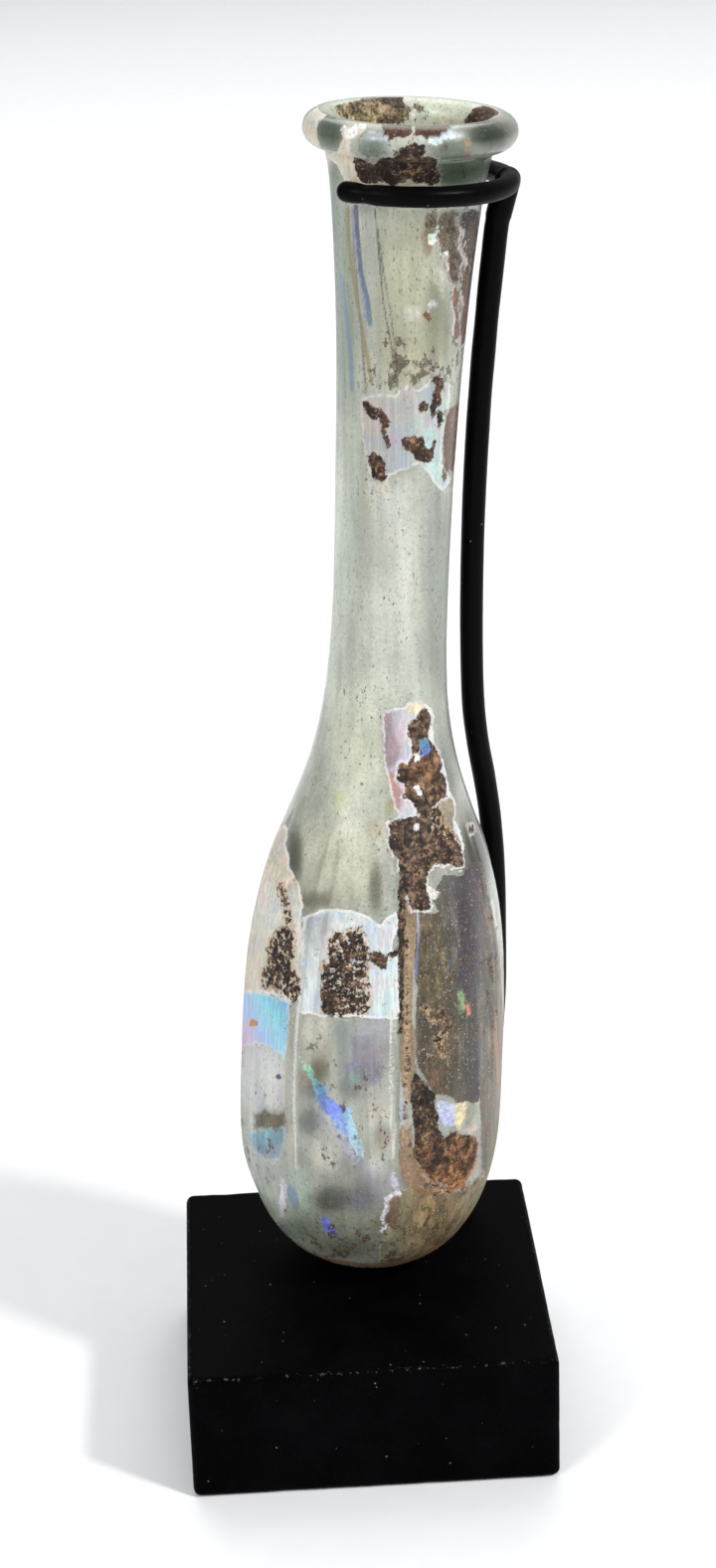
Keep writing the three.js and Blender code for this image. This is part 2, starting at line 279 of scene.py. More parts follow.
@dataclass(frozen=True)
class BottleForm:
    """The blown form of the bottle, in millimetres and degrees, as the solid model has it."""

    block_height: float = 19.05
    seat_gap: float = 0.45
    right_of_middle: float = 0.965
    behind_middle: float = 7.1
    lean_right: float = 0.055
    lean_back: float = 0.011
    neck_bow: float = 1.39
    height: float = 163.2
    body_radius: float = 18.4
    heel_height: float = 26.0
    heel_squareness: float = 2.45
    foot_radius: float = 2.0
    shoulder_height: float = 67.75
    shoulder_spread: float = 7.3
    neck_radius: float = 7.34
    neck_flare: float = 3.4
    neck_flare_length: float = 23.3
    lip_flare: float = 1.25
    lip_flare_length: float = 2.2
    rim_radius: float = 13.7
    rim_roll: float = 2.2
    wall: float = 1.25
    base_thickness: float = 2.6
    rib_turns: tuple[float, ...] = (-83, -36, 11, 59, 103, 146, 190, 233)
    rib_width: float = 1.7
    rib_height: float = 0.45
    groove_width: float = 1.6
    groove_depth: float = 0.3
    rib_foot: float = 9.0
    rib_top: float = 71.0
    rib_fade: float = 9.0

    def directions(self) -> tuple[np.ndarray, np.ndarray, np.ndarray]:
        """The bottle's own right, back and up directions."""
        rise = math.sqrt(1 - self.lean_right**2 - self.lean_back**2)
        along = np.array([self.lean_right, self.lean_back, rise])
        right = np.array([1.0, 0.0, 0.0]) - along * self.lean_right
        right /= np.linalg.norm(right)
        return right, np.cross(along, right), along

    def axis(self, height: np.ndarray) -> np.ndarray:
        """Points of the bowed axis at heights along it."""
        along = self.directions()[2]
        bow = self.neck_bow * (height / self.height) ** 2
        x = self.right_of_middle + self.lean_right * height + bow
        y = self.behind_middle + self.lean_back * height
        z = self.block_height + self.seat_gap + along[2] * height
        return np.stack(np.broadcast_arrays(x, y, z), axis=-1)

    def around(self, height: np.ndarray, distance: np.ndarray, turn: np.ndarray) -> np.ndarray:
        """Points at a height along the axis, a distance from it, and a turn from the front to the right."""
        right, back, _ = self.directions()
        height, distance, turn = np.broadcast_arrays(height, distance, np.radians(turn))
        aside = (distance * np.sin(turn))[..., None] * right
        return self.axis(height) + aside - (distance * np.cos(turn))[..., None] * back

    def side(self, height: np.ndarray) -> np.ndarray:
        """The outer radius of body, shoulder, neck and flare: a soft step and two decays."""
        below = np.maximum(self.height - self.rim_roll - height, 0)
        shoulder = 1 / (1 + np.exp((height - self.shoulder_height) / self.shoulder_spread))
        flare = self.neck_flare * np.exp(-below / self.neck_flare_length)
        lip = self.lip_flare * np.exp(-below / self.lip_flare_length)
        return self.neck_radius + (self.body_radius - self.neck_radius) * shoulder + flare + lip

    def rounded(self, height: np.ndarray, floor: float, side: np.ndarray) -> np.ndarray:
        """A side closed by a round heel, a superellipse from the foot at the floor up to the side."""
        share = 1 - np.clip((height - floor) / (self.heel_height - floor), 0, 1)
        round_part = (1 - share**self.heel_squareness) ** (1 / self.heel_squareness)
        return self.foot_radius + (side - self.foot_radius) * round_part

    def outer(self, height: np.ndarray) -> np.ndarray:
        """The outer radius at heights along the axis."""
        return self.rounded(height, 0, self.side(height))

    def relief(self, turn: np.ndarray, height: np.ndarray) -> np.ndarray:
        """How far the ribs stand out and their grooves go in, faded at the foot and the shoulder."""
        total = np.zeros(np.broadcast(turn, height).shape)
        for rib in self.rib_turns:
            aside = np.radians((turn - rib + 180) % 360 - 180) * self.body_radius
            beside = aside - (self.rib_width + self.groove_width) / 2
            total += self.rib_height * smooth(1 - np.abs(aside) / (self.rib_width / 2), 0, 1)
            total -= self.groove_depth * smooth(1 - np.abs(beside) / (self.groove_width / 2), 0, 1)
        grown = smooth(height, self.rib_foot, self.rib_foot + self.rib_fade)
        return total * grown * (1 - smooth(height, self.rib_top - self.rib_fade, self.rib_top))


@dataclass(frozen=True)
class Spots:
    """A grid of places on the bottle's wall, its rows running round the bottle.

    Attributes:
        height: The height of each place along the axis.
        distance: How far each place lies from the axis.
        turn: The turn of each place from the front towards the right.
        inner: Whether each place is on the inner wall.
    """

    height: np.ndarray
    distance: np.ndarray
    turn: np.ndarray
    inner: np.ndarray

    @classmethod
    def around(cls, rows: np.ndarray, inside: np.ndarray, columns: int) -> "Spots":
        """The grid of a section of distance and height rows, turned round the bottle in even columns."""
        turns = np.arange(columns) * 360 / columns
        distance, turn = np.meshgrid(rows[:, 0], turns, indexing="ij")
        height, inner = (np.repeat(each[:, None], columns, axis=1) for each in (rows[:, 1], inside))
        return cls(height, distance, turn, inner)


# Weathering, drawn in the photograph's pixels


class Layer(Enum):
    """What a patch lays on the glass, from the lowest up."""

    FILM = "film"
    FLAKE = "flake"
    LINE = "line"
    SPECK = "speck"
    SOIL = "soil"
    CHIP = "chip"


class Wall(Enum):
    """The side of the glass that a patch is on."""

    OUTER = "outer"
    INNER = "inner"


@dataclass(frozen=True)
class Patch:
    """A patch of weathering as the photograph shows it; a few patches are painted shade and painted
    highlights.

    Attributes:
        name: What it is.
        layer: What it lays on the glass.
        outline: Its corners in the photograph's pixels.
        inks: Its sRGB colours, spread evenly along the line `along`.
        along: The line from the first ink to the last.
        cover: How far it hides what is under it.
        half_width: Half its width in pixels where the outline is an open line, else nothing.
        wall: The side of the glass that it is on.
        edge: How strong the pale line along its edge is.
    """

    name: str
    layer: Layer
    outline: Points
    inks: tuple[Ink, ...] = ((74, 50, 38),)
    along: Points = ()
    cover: float = 0.8
    half_width: float | None = None
    wall: Wall = Wall.OUTER
    edge: float = 0.0

    def depth(self, pixels: np.ndarray) -> np.ndarray:
        """How many pixels inside the patch each place is: below zero outside it."""
        line = np.array(self.outline, float)
        ends = line[1:] if self.half_width else np.roll(line, -1, axis=0)
        starts = line[:-1] if self.half_width else line
        step = ends - starts
        offset = pixels[:, None, :] - starts
        share = np.clip((offset * step).sum(-1) / np.maximum((step**2).sum(-1), TINY), 0, 1)
        gap = np.linalg.norm(offset - share[..., None] * step, axis=-1).min(axis=1)
        if self.half_width:
            return self.half_width - gap
        x, y = pixels[:, None, 0], pixels[:, None, 1]
        crossed = (starts[:, 1] > y) != (ends[:, 1] > y)
        rise = np.where(step[:, 1] == 0, TINY, step[:, 1])
        left = x < starts[:, 0] + (y - starts[:, 1]) * step[:, 0] / rise
        inside = (crossed & left).sum(axis=1) % 2 == 1
        return np.where(inside, gap, -gap)

    def colour(self, pixels: np.ndarray) -> np.ndarray:
        """The linear colour at each place, from the inks along the patch's line."""
        inks = np.array([linear(ink) for ink in self.inks])
        if len(inks) == 1:
            return np.repeat(inks, len(pixels), axis=0)
        start, end = np.array(self.along, float)
        share = ((pixels - start) @ (end - start)) / ((end - start) @ (end - start))
        places = np.linspace(0, 1, len(inks))
        return np.stack([np.interp(share, places, inks[:, k]) for k in range(3)], axis=1)


@dataclass(frozen=True)
class Grime:
    """A soft spot of dirt and pitting on the glass: its middle, reach and strength."""

    middle: tuple[float, float]
    reach: tuple[float, float]
    strength: float = 1.0


@dataclass(frozen=True)
class Wash:
    """A soft spot in the glass: its middle, reach, ink, strength, and how milky the glass is there. Some
    spots are painted shade, some painted light and some painted glints.
    """

    middle: tuple[float, float]
    reach: tuple[float, float]
    ink: Ink
    strength: float = 1.0
    milk: float | None = None


FILM, FLAKE, LINE, SPECK, SOIL, CHIP = Layer
Painted = dict[Layer, tuple[np.ndarray, np.ndarray]]

GLASS_INK: Ink = (228, 232, 218)
GLASS_MILK = 0.5
INNER_INK: Ink = (244, 246, 238)
INNER_MILK = 0.2
MOUTH_INK: Ink = (216, 222, 200)
MOUTH_MILK = 0.8

RIM: tuple[Patch, ...] = (
    Patch("cream film on the left of the rim", FILM, ((305, 123), (312, 111), (327, 106), (339, 111),
        (346, 118), (339, 118), (330, 116), (322, 120), (318, 127), (319, 139), (323, 148), (334, 154),
        (340, 152), (343, 142), (345, 132), (351, 128), (359, 127), (368, 124), (369, 127), (363, 134),
        (356, 140), (351, 146), (352, 155), (364, 164), (387, 176), (412, 173), (409, 184), (355, 184),
        (346, 180), (340, 166), (328, 158), (318, 149), (310, 137), (305, 130)), inks=((228, 216, 198),),
        cover=0.85, edge=0.3),
    Patch("film under the soil lobes", FILM, ((351, 180), (366, 182), (380, 180), (394, 183), (409, 175),
        (416, 183), (437, 185), (437, 191), (405, 187), (376, 185), (355, 187)), inks=((196, 184, 146),),
        cover=0.85),
    Patch("pearly band on the lip", FILM, ((387, 140), (394, 139), (405, 135), (412, 130), (421, 134),
        (432, 139), (444, 135), (451, 131), (462, 132), (468, 135), (466, 139), (451, 139), (441, 146),
        (430, 147), (418, 150), (405, 151), (394, 150)), inks=((215, 212, 205), (228, 226, 224)),
        along=((389, 139), (466, 135)), cover=0.62),
    Patch("white flake on the lip", FLAKE, ((343, 126), (351, 129), (364, 123), (369, 125), (366, 131),
        (359, 134), (355, 139), (348, 140), (343, 135)), inks=((240, 236, 228),), cover=0.95),
    Patch("blue pearl on the lip", FLAKE, ((366, 134), (373, 131), (380, 134), (387, 132), (389, 139),
        (385, 142), (373, 142), (366, 139)), inks=((170, 195, 215), (215, 225, 235)), along=((366, 137),
        (389, 137)), cover=0.6),
    Patch("left brown stain on the lip", FLAKE, ((384, 125), (398, 122), (414, 123), (414, 134), (408, 139),
        (398, 137), (391, 142), (386, 136)), inks=((96, 66, 44), (72, 44, 34)), along=((400, 122),
        (402, 140)), cover=0.92),
    Patch("right brown stain on the lip", FLAKE, ((417, 124), (434, 122), (452, 125), (453, 133),
        (446, 141), (437, 137), (431, 143), (424, 135), (418, 137)), inks=((96, 66, 44), (72, 44, 34)),
        along=((400, 122), (402, 140)), cover=0.92),
    Patch("pearl at the left of the lip", FILM, ((352, 139), (362, 141), (382, 143), (398, 146), (410, 150),
        (400, 153), (380, 149), (360, 148)), inks=((196, 204, 206),), cover=0.55),
    Patch("cream streak over the lobes", FILM, ((352, 150), (364, 158), (380, 160), (392, 157), (400, 149),
        (412, 143), (430, 142), (440, 147), (440, 158), (428, 160), (404, 158), (384, 164), (362, 162)),
        inks=((170, 158, 132), (150, 142, 124)), along=((360, 158), (436, 148)), cover=0.58),
    # Painted highlight along the lip, bluish white
    Patch("painted highlight on the lip", FLAKE, ((430, 139), (442, 136), (452, 131), (462, 133), (458, 139),
        (448, 141), (438, 147), (430, 145)), inks=((222, 232, 228), (196, 216, 226)), along=((430, 142),
        (460, 135)), cover=0.85),
    Patch("gold spot at the right of the lip", FLAKE, ((466, 140), (472, 139), (474, 147), (468, 149)),
        inks=((176, 138, 88),)),
    Patch("dark veil on the right of the rim", FILM, ((492, 112), (506, 110), (522, 122), (526, 136),
        (518, 140), (508, 128), (494, 122)), inks=((84, 80, 72),), cover=0.57),
    Patch("orange spot under the lip", FLAKE, ((467, 151), (474, 151), (474, 159), (468, 160)),
        inks=((140, 100, 70),)),
    Patch("amber spot on the lip", FLAKE, ((359, 135), (368, 133), (366, 139), (360, 140)),
        inks=((140, 115, 70),), cover=0.7),
    Patch("joined soil lobes", SOIL, ((355, 159), (364, 160), (375, 165), (381, 161), (388, 158),
        (396, 159), (399, 156), (393, 152), (403, 150), (409, 147), (415, 144), (427, 145), (430, 150),
        (424, 153), (426, 159), (434, 157), (440, 161), (439, 168), (443, 176), (441, 183), (434, 188),
        (426, 184), (419, 185), (412, 180), (405, 183), (394, 187), (386, 183), (378, 185), (367, 184),
        (360, 177), (357, 169)), inks=((58, 42, 34), (52, 36, 30)), along=((357, 170), (441, 170)),
        edge=0.25),
)

MOUTH: tuple[Patch, ...] = (
    Patch("soil inside the mouth", SOIL, ((336, 108), (351, 102), (373, 98), (387, 96), (404, 95),
        (406, 104), (408, 112), (414, 118), (418, 124), (396, 125), (364, 124), (350, 121), (341, 115)),
        inks=((92, 80, 68), (132, 118, 92), (172, 156, 118)), along=((370, 98), (366, 122)),
        wall=Wall.INNER),
    Patch("cream chips inside the mouth", FLAKE, ((403, 105), (412, 107), (418, 119), (412, 123),
        (409, 116), (403, 110)), inks=((232, 228, 215),), cover=0.9, wall=Wall.INNER),
    Patch("sparkling chips inside the mouth", FLAKE, ((437, 119), (444, 114), (451, 116), (469, 123),
        (466, 126), (441, 125)), inks=((225, 215, 190),), cover=0.7, wall=Wall.INNER),
    Patch("soil at the right of the mouth", SOIL, ((468, 121), (476, 110), (488, 106), (502, 109),
        (514, 117), (518, 126), (498, 127), (480, 128), (470, 127)), wall=Wall.INNER),
)

UPPER_NECK: tuple[Patch, ...] = (
    Patch("green streak", FILM, ((332, 170), (345, 180), (350, 208), (350, 243), (353, 293), (358, 342),
        (359, 392), (355, 419), (350, 419), (350, 376), (345, 309), (341, 243), (336, 201)),
        inks=((132, 146, 122),), cover=0.57),
    Patch("grey pane", FILM, ((365, 210), (376, 210), (380, 243), (385, 301), (393, 351), (398, 389),
        (393, 397), (375, 392), (373, 326), (368, 276)), inks=((175, 178, 165),), cover=0.45),
    Patch("tan streak", FILM, ((361, 347), (366, 351), (370, 372), (368, 397), (361, 399), (361, 372)),
        inks=((175, 150, 130),), cover=0.5),
    Patch("olive mottle", FILM, ((375, 351), (393, 342), (416, 341), (443, 336), (462, 347), (462, 371),
        (439, 374), (419, 387), (400, 390), (378, 390)), inks=((160, 160, 125),), cover=0.4),
    Patch("brown mottle on the right", FILM, ((441, 212), (464, 211), (459, 222), (466, 234), (462, 246),
        (468, 262), (461, 280), (457, 292), (450, 276), (446, 262), (440, 250), (438, 232)),
        inks=((128, 114, 92), (92, 78, 68)), along=((438, 230), (464, 236)), edge=0.45),
    Patch("grey mottle on the right", FILM, ((464, 211), (485, 211), (481, 260), (476, 309), (469, 351),
        (463, 349), (461, 326), (464, 306), (461, 284), (468, 262), (462, 246), (466, 234), (459, 222)),
        inks=((86, 74, 66), (70, 58, 54), (54, 50, 50)), along=((458, 230), (482, 230)), cover=0.95,
        edge=0.4),
    Patch("jagged seam at the top right", LINE, ((460, 213), (466, 222), (462, 232), (469, 243), (465, 252),
        (471, 264), (466, 274)), inks=((200, 198, 194),), half_width=0.7),
    Patch("amber smear", FILM, ((428, 213), (441, 213), (438, 235), (434, 253), (428, 260), (424, 240)),
        inks=((136, 116, 84),), cover=0.75),
    Patch("gold streak", LINE, ((350, 208), (351, 243), (355, 276), (359, 306), (365, 337), (369, 358),
        (373, 383)), inks=((136, 128, 90), (150, 132, 86)), along=((350, 208), (373, 383)), cover=0.9,
        half_width=1.9),
    Patch("slate line", LINE, ((355, 208), (356, 250), (360, 300), (364, 350), (368, 395)),
        inks=((96, 94, 84),), half_width=1.1),
    Patch("green line", LINE, ((339, 208), (340, 260), (343, 330), (347, 400)), inks=((122, 142, 132),),
        cover=0.7, half_width=1.5),
    Patch("violet streak", LINE, ((358, 208), (360, 243), (363, 276), (369, 301), (372, 326)),
        inks=((76, 72, 100), (84, 92, 116), (96, 124, 142)), along=((358, 208), (372, 326)), cover=0.92,
        half_width=2.6),
    Patch("cobalt thread", LINE, ((354, 208), (357, 243), (360, 276), (365, 301), (368, 326)),
        inks=((96, 108, 168), (110, 140, 176)), along=((354, 208), (368, 326)), cover=0.7, half_width=1.0),
    Patch("pale blue streak", LINE, ((343, 276), (348, 320), (352, 355), (354, 392)),
        inks=((112, 132, 164),), cover=0.7, half_width=2.2),
    Patch("left crack", LINE, ((377, 209), (380, 243), (385, 303), (393, 347), (399, 392)),
        inks=((84, 90, 80),), cover=0.9, half_width=1.1),
    Patch("right crack", LINE, ((380, 230), (385, 268), (393, 317), (398, 354), (400, 392)),
        inks=((92, 98, 84),), cover=0.85, half_width=1.0),
    Patch("upper white chip", FLAKE, ((429, 236), (438, 233), (441, 226), (443, 231), (439, 236),
        (439, 245), (431, 246)), inks=((225, 235, 222),), cover=0.9),
    Patch("lower white chip", FLAKE, ((443, 255), (451, 252), (453, 256), (449, 260), (443, 260)),
        inks=((222, 232, 220),), cover=0.85),
    Patch("brown chip", FLAKE, ((446, 260), (454, 258), (459, 266), (454, 273), (446, 271)),
        inks=((110, 85, 70),)),
    Patch("plum chip", FLAKE, ((448, 218), (459, 221), (456, 228), (446, 226)), inks=((120, 90, 80),),
        cover=0.6),
    Patch("brown ribbon", FLAKE, ((454, 293), (459, 288), (463, 299), (460, 306), (462, 319), (466, 327),
        (463, 339), (459, 342), (457, 332), (459, 319), (456, 308)), inks=((120, 80, 62),), cover=0.9),
    Patch("right brown ribbon", FLAKE, ((463, 274), (471, 276), (472, 309), (469, 339), (466, 351),
        (463, 336), (466, 318), (462, 306)), inks=((106, 78, 64),)),
    Patch("white seam by the ribbon", LINE, ((444, 246), (450, 262), (452, 280), (456, 292), (454, 306),
        (458, 320), (455, 334), (462, 348)), inks=((206, 204, 196),), cover=0.75, half_width=1.0),
    Patch("pale chips by the ribbon", FLAKE, ((436, 268), (446, 272), (449, 284), (445, 300), (440, 290),
        (436, 280)), inks=((196, 196, 176),), cover=0.6),
    Patch("small brown spot", FLAKE, ((424, 313), (431, 313), (435, 318), (432, 324), (428, 321)),
        inks=((105, 65, 40),), cover=0.95),
    Patch("chalky spot", FLAKE, ((404, 316), (408, 310), (416, 309), (424, 313), (423, 319), (414, 322),
        (406, 322)), inks=((215, 212, 205),), cover=0.5),
    Patch("lilac spot", FLAKE, ((428, 304), (438, 303), (440, 308), (433, 310)), inks=((230, 228, 240),),
        cover=0.7),
)

MIDDLE_NECK: tuple[Patch, ...] = (
    Patch("grey-green band", FILM, ((352, 440), (356, 500), (360, 560), (364, 620)),
        inks=((150, 160, 140),), cover=0.5, half_width=5),
    Patch("shade on the right of the neck", FILM, ((452, 500), (449, 560), (447, 620), (450, 680)),
        inks=((150, 158, 152),), cover=0.45, half_width=5),
    Patch("olive streak", FILM, ((355, 452), (361, 438), (367, 466), (373, 499), (379, 548), (373, 551),
        (367, 518), (361, 493), (357, 466)), inks=((165, 165, 120),), cover=0.4),
    # Painted light: a pale streak down the bright middle of the neck
    Patch("painted light streak down the neck", FILM, ((390, 501), (398, 541), (404, 579), (407, 619), (412, 660),
        (420, 706)), inks=((208, 208, 202),), cover=0.4, half_width=6),
    Patch("lilac haze", FILM, ((430, 496), (439, 493), (441, 518), (438, 564), (433, 565), (430, 533)),
        inks=((185, 185, 195),), cover=0.25),
    Patch("lilac film", FILM, ((362, 401), (373, 398), (386, 397), (398, 397), (400, 393), (410, 389),
        (421, 392), (431, 386), (436, 379), (447, 379), (453, 389), (453, 411), (447, 431), (444, 466),
        (453, 478), (453, 487), (445, 495), (437, 486), (431, 475), (422, 467), (407, 472), (401, 475),
        (392, 478), (389, 484), (376, 486), (370, 472), (367, 454), (363, 431)), inks=((196, 188, 182),
        (182, 180, 182), (198, 210, 208)), along=((362, 425), (447, 440)), cover=0.92, edge=0.5),
    Patch("sea-green tint", FLAKE, ((427, 431), (437, 429), (438, 441), (436, 452), (437, 466), (445, 472),
        (440, 487), (434, 475), (428, 472), (430, 454), (427, 452)), inks=((185, 225, 222),), cover=0.55),
    Patch("gold specks", FLAKE, ((376, 486), (389, 486), (389, 496), (382, 499), (378, 493)),
        inks=((220, 200, 165),), cover=0.5),
    Patch("brown right edge", FLAKE, ((447, 413), (460, 408), (463, 398), (466, 380), (466, 411),
        (462, 431), (459, 457), (456, 475), (453, 472), (447, 486), (444, 483), (447, 466), (446, 449),
        (447, 432)), inks=((105, 82, 68),), cover=0.92),
    Patch("bent soil patch", SOIL, ((363, 403), (367, 402), (373, 408), (381, 411), (382, 409), (386, 415),
        (391, 421), (390, 428), (387, 431), (389, 437), (393, 444), (392, 450), (389, 451), (386, 441),
        (383, 437), (385, 426), (381, 420), (375, 422), (369, 418), (367, 412))),
    Patch("oval soil patch", SOIL, ((370, 458), (376, 455), (382, 458), (387, 463), (388, 472), (389, 481),
        (386, 484), (379, 483), (375, 480), (373, 472), (371, 464))),
    Patch("broad soil patch", SOIL, ((405, 441), (413, 439), (425, 439), (427, 446), (426, 451), (434, 452),
        (438, 441), (438, 447), (436, 457), (435, 463), (430, 466), (421, 464), (416, 461), (414, 455),
        (407, 452), (405, 447))),
    Patch("square soil patch", SOIL, ((419, 405), (430, 402), (431, 411), (425, 415), (421, 415))),
    Patch("upright soil patch", SOIL, ((437, 379), (445, 379), (446, 391), (442, 395), (445, 401),
        (444, 406), (439, 408), (438, 418), (434, 424), (433, 411), (435, 395), (437, 389))),
    Patch("lower upright soil patch", SOIL, ((438, 414), (446, 414), (446, 421), (442, 431), (439, 429),
        (439, 420))),
)

SHOULDER: tuple[Patch, ...] = (
    Patch("lilac-white film", FILM, ((384, 715), (396, 712), (408, 711), (409, 705), (424, 705), (432, 711),
        (435, 716), (435, 736), (438, 753), (446, 766), (450, 783), (452, 796), (458, 808), (459, 818),
        (457, 824), (462, 834), (466, 849), (466, 860), (396, 860), (391, 851), (390, 831), (391, 827),
        (403, 820), (397, 813), (394, 801), (391, 788), (388, 776), (385, 766)), inks=((185, 170, 185),
        (225, 222, 228)), along=((388, 740), (425, 740)), cover=0.85, edge=0.6),
    Patch("plum edge", FLAKE, ((384, 717), (395, 717), (396, 739), (403, 751), (399, 768), (391, 772),
        (387, 770), (385, 755), (384, 733)), inks=((152, 134, 140), (136, 112, 112)), along=((390, 720),
        (392, 770)), cover=0.7),
    Patch("orange film", FLAKE, ((390, 776), (398, 777), (397, 785), (401, 790), (406, 798), (402, 809),
        (403, 819), (398, 813), (394, 798), (391, 785)), inks=((172, 120, 98),), cover=0.7),
    Patch("cream tip", FLAKE, ((411, 708), (424, 706), (426, 712), (419, 717), (411, 718), (409, 713)),
        inks=((228, 215, 178),), cover=0.85),
    Patch("dusty soil", FLAKE, ((434, 806), (446, 800), (454, 804), (460, 815), (456, 823), (456, 834),
        (462, 842), (464, 855), (455, 860), (442, 858), (430, 850), (430, 820)), inks=((160, 150, 128),
        (128, 108, 84)), along=((448, 812), (444, 852)), cover=0.92),
    Patch("crumbs on the dusty soil", SPECK, ((434, 806), (444, 812), (446, 826), (458, 836), (464, 850),
        (462, 860), (442, 860), (430, 850), (430, 820))),
    Patch("upper soil patch", SOIL, ((427, 712), (431, 716), (433, 723), (433, 730), (429, 733), (430, 741),
        (436, 751), (441, 759), (444, 770), (442, 776), (448, 783), (449, 794), (450, 802), (442, 804),
        (436, 811), (431, 818), (423, 820), (419, 814), (415, 805), (408, 803), (404, 802), (408, 794),
        (406, 788), (398, 784), (398, 781), (401, 776), (400, 768), (403, 766), (410, 769), (412, 761),
        (415, 757), (413, 751), (413, 743), (410, 739), (409, 732), (413, 726), (418, 723), (417, 719),
        (423, 714)), inks=((84, 66, 52), (86, 66, 54), (118, 84, 58), (100, 76, 58), (70, 56, 46)),
        along=((426, 715), (428, 818)), edge=0.6),
    Patch("lower soil patch", SOIL, ((390, 828), (400, 825), (414, 821), (426, 820), (434, 823), (433, 841),
        (442, 841), (458, 845), (464, 857), (467, 870), (462, 872), (451, 869), (436, 869), (430, 877),
        (429, 892), (431, 902), (433, 915), (421, 916), (413, 916), (410, 902), (404, 894), (402, 878),
        (400, 864), (395, 859), (390, 849), (392, 839)), inks=((68, 50, 42), (92, 74, 62), (82, 62, 50)),
        along=((395, 830), (445, 860)), edge=0.7),
    Patch("lone soil spot", SOIL, ((471, 829), (476, 830), (477, 836), (473, 839)), inks=((84, 56, 36),),
        edge=0.6),
)

ON_SOIL: tuple[Patch, ...] = (
    Patch("blue chip", CHIP, ((421, 743), (428, 742), (431, 748), (432, 755), (429, 758), (424, 759),
        (422, 754)), inks=((95, 150, 165), (95, 115, 200)), along=((424, 743), (427, 759)), cover=0.95),
    Patch("upper white hole", CHIP, ((414, 758), (420, 757), (422, 761), (421, 766), (416, 767),
        (416, 762)), inks=((240, 238, 236),), cover=0.95),
    Patch("lower white hole", CHIP, ((415, 791), (418, 787), (423, 793), (424, 801), (421, 800),
        (418, 795)), inks=((226, 226, 230),), cover=0.95),
    Patch("low white hole", CHIP, ((415, 829), (420, 828), (421, 835), (417, 836)), inks=((222, 220, 222),),
        cover=0.9),
)

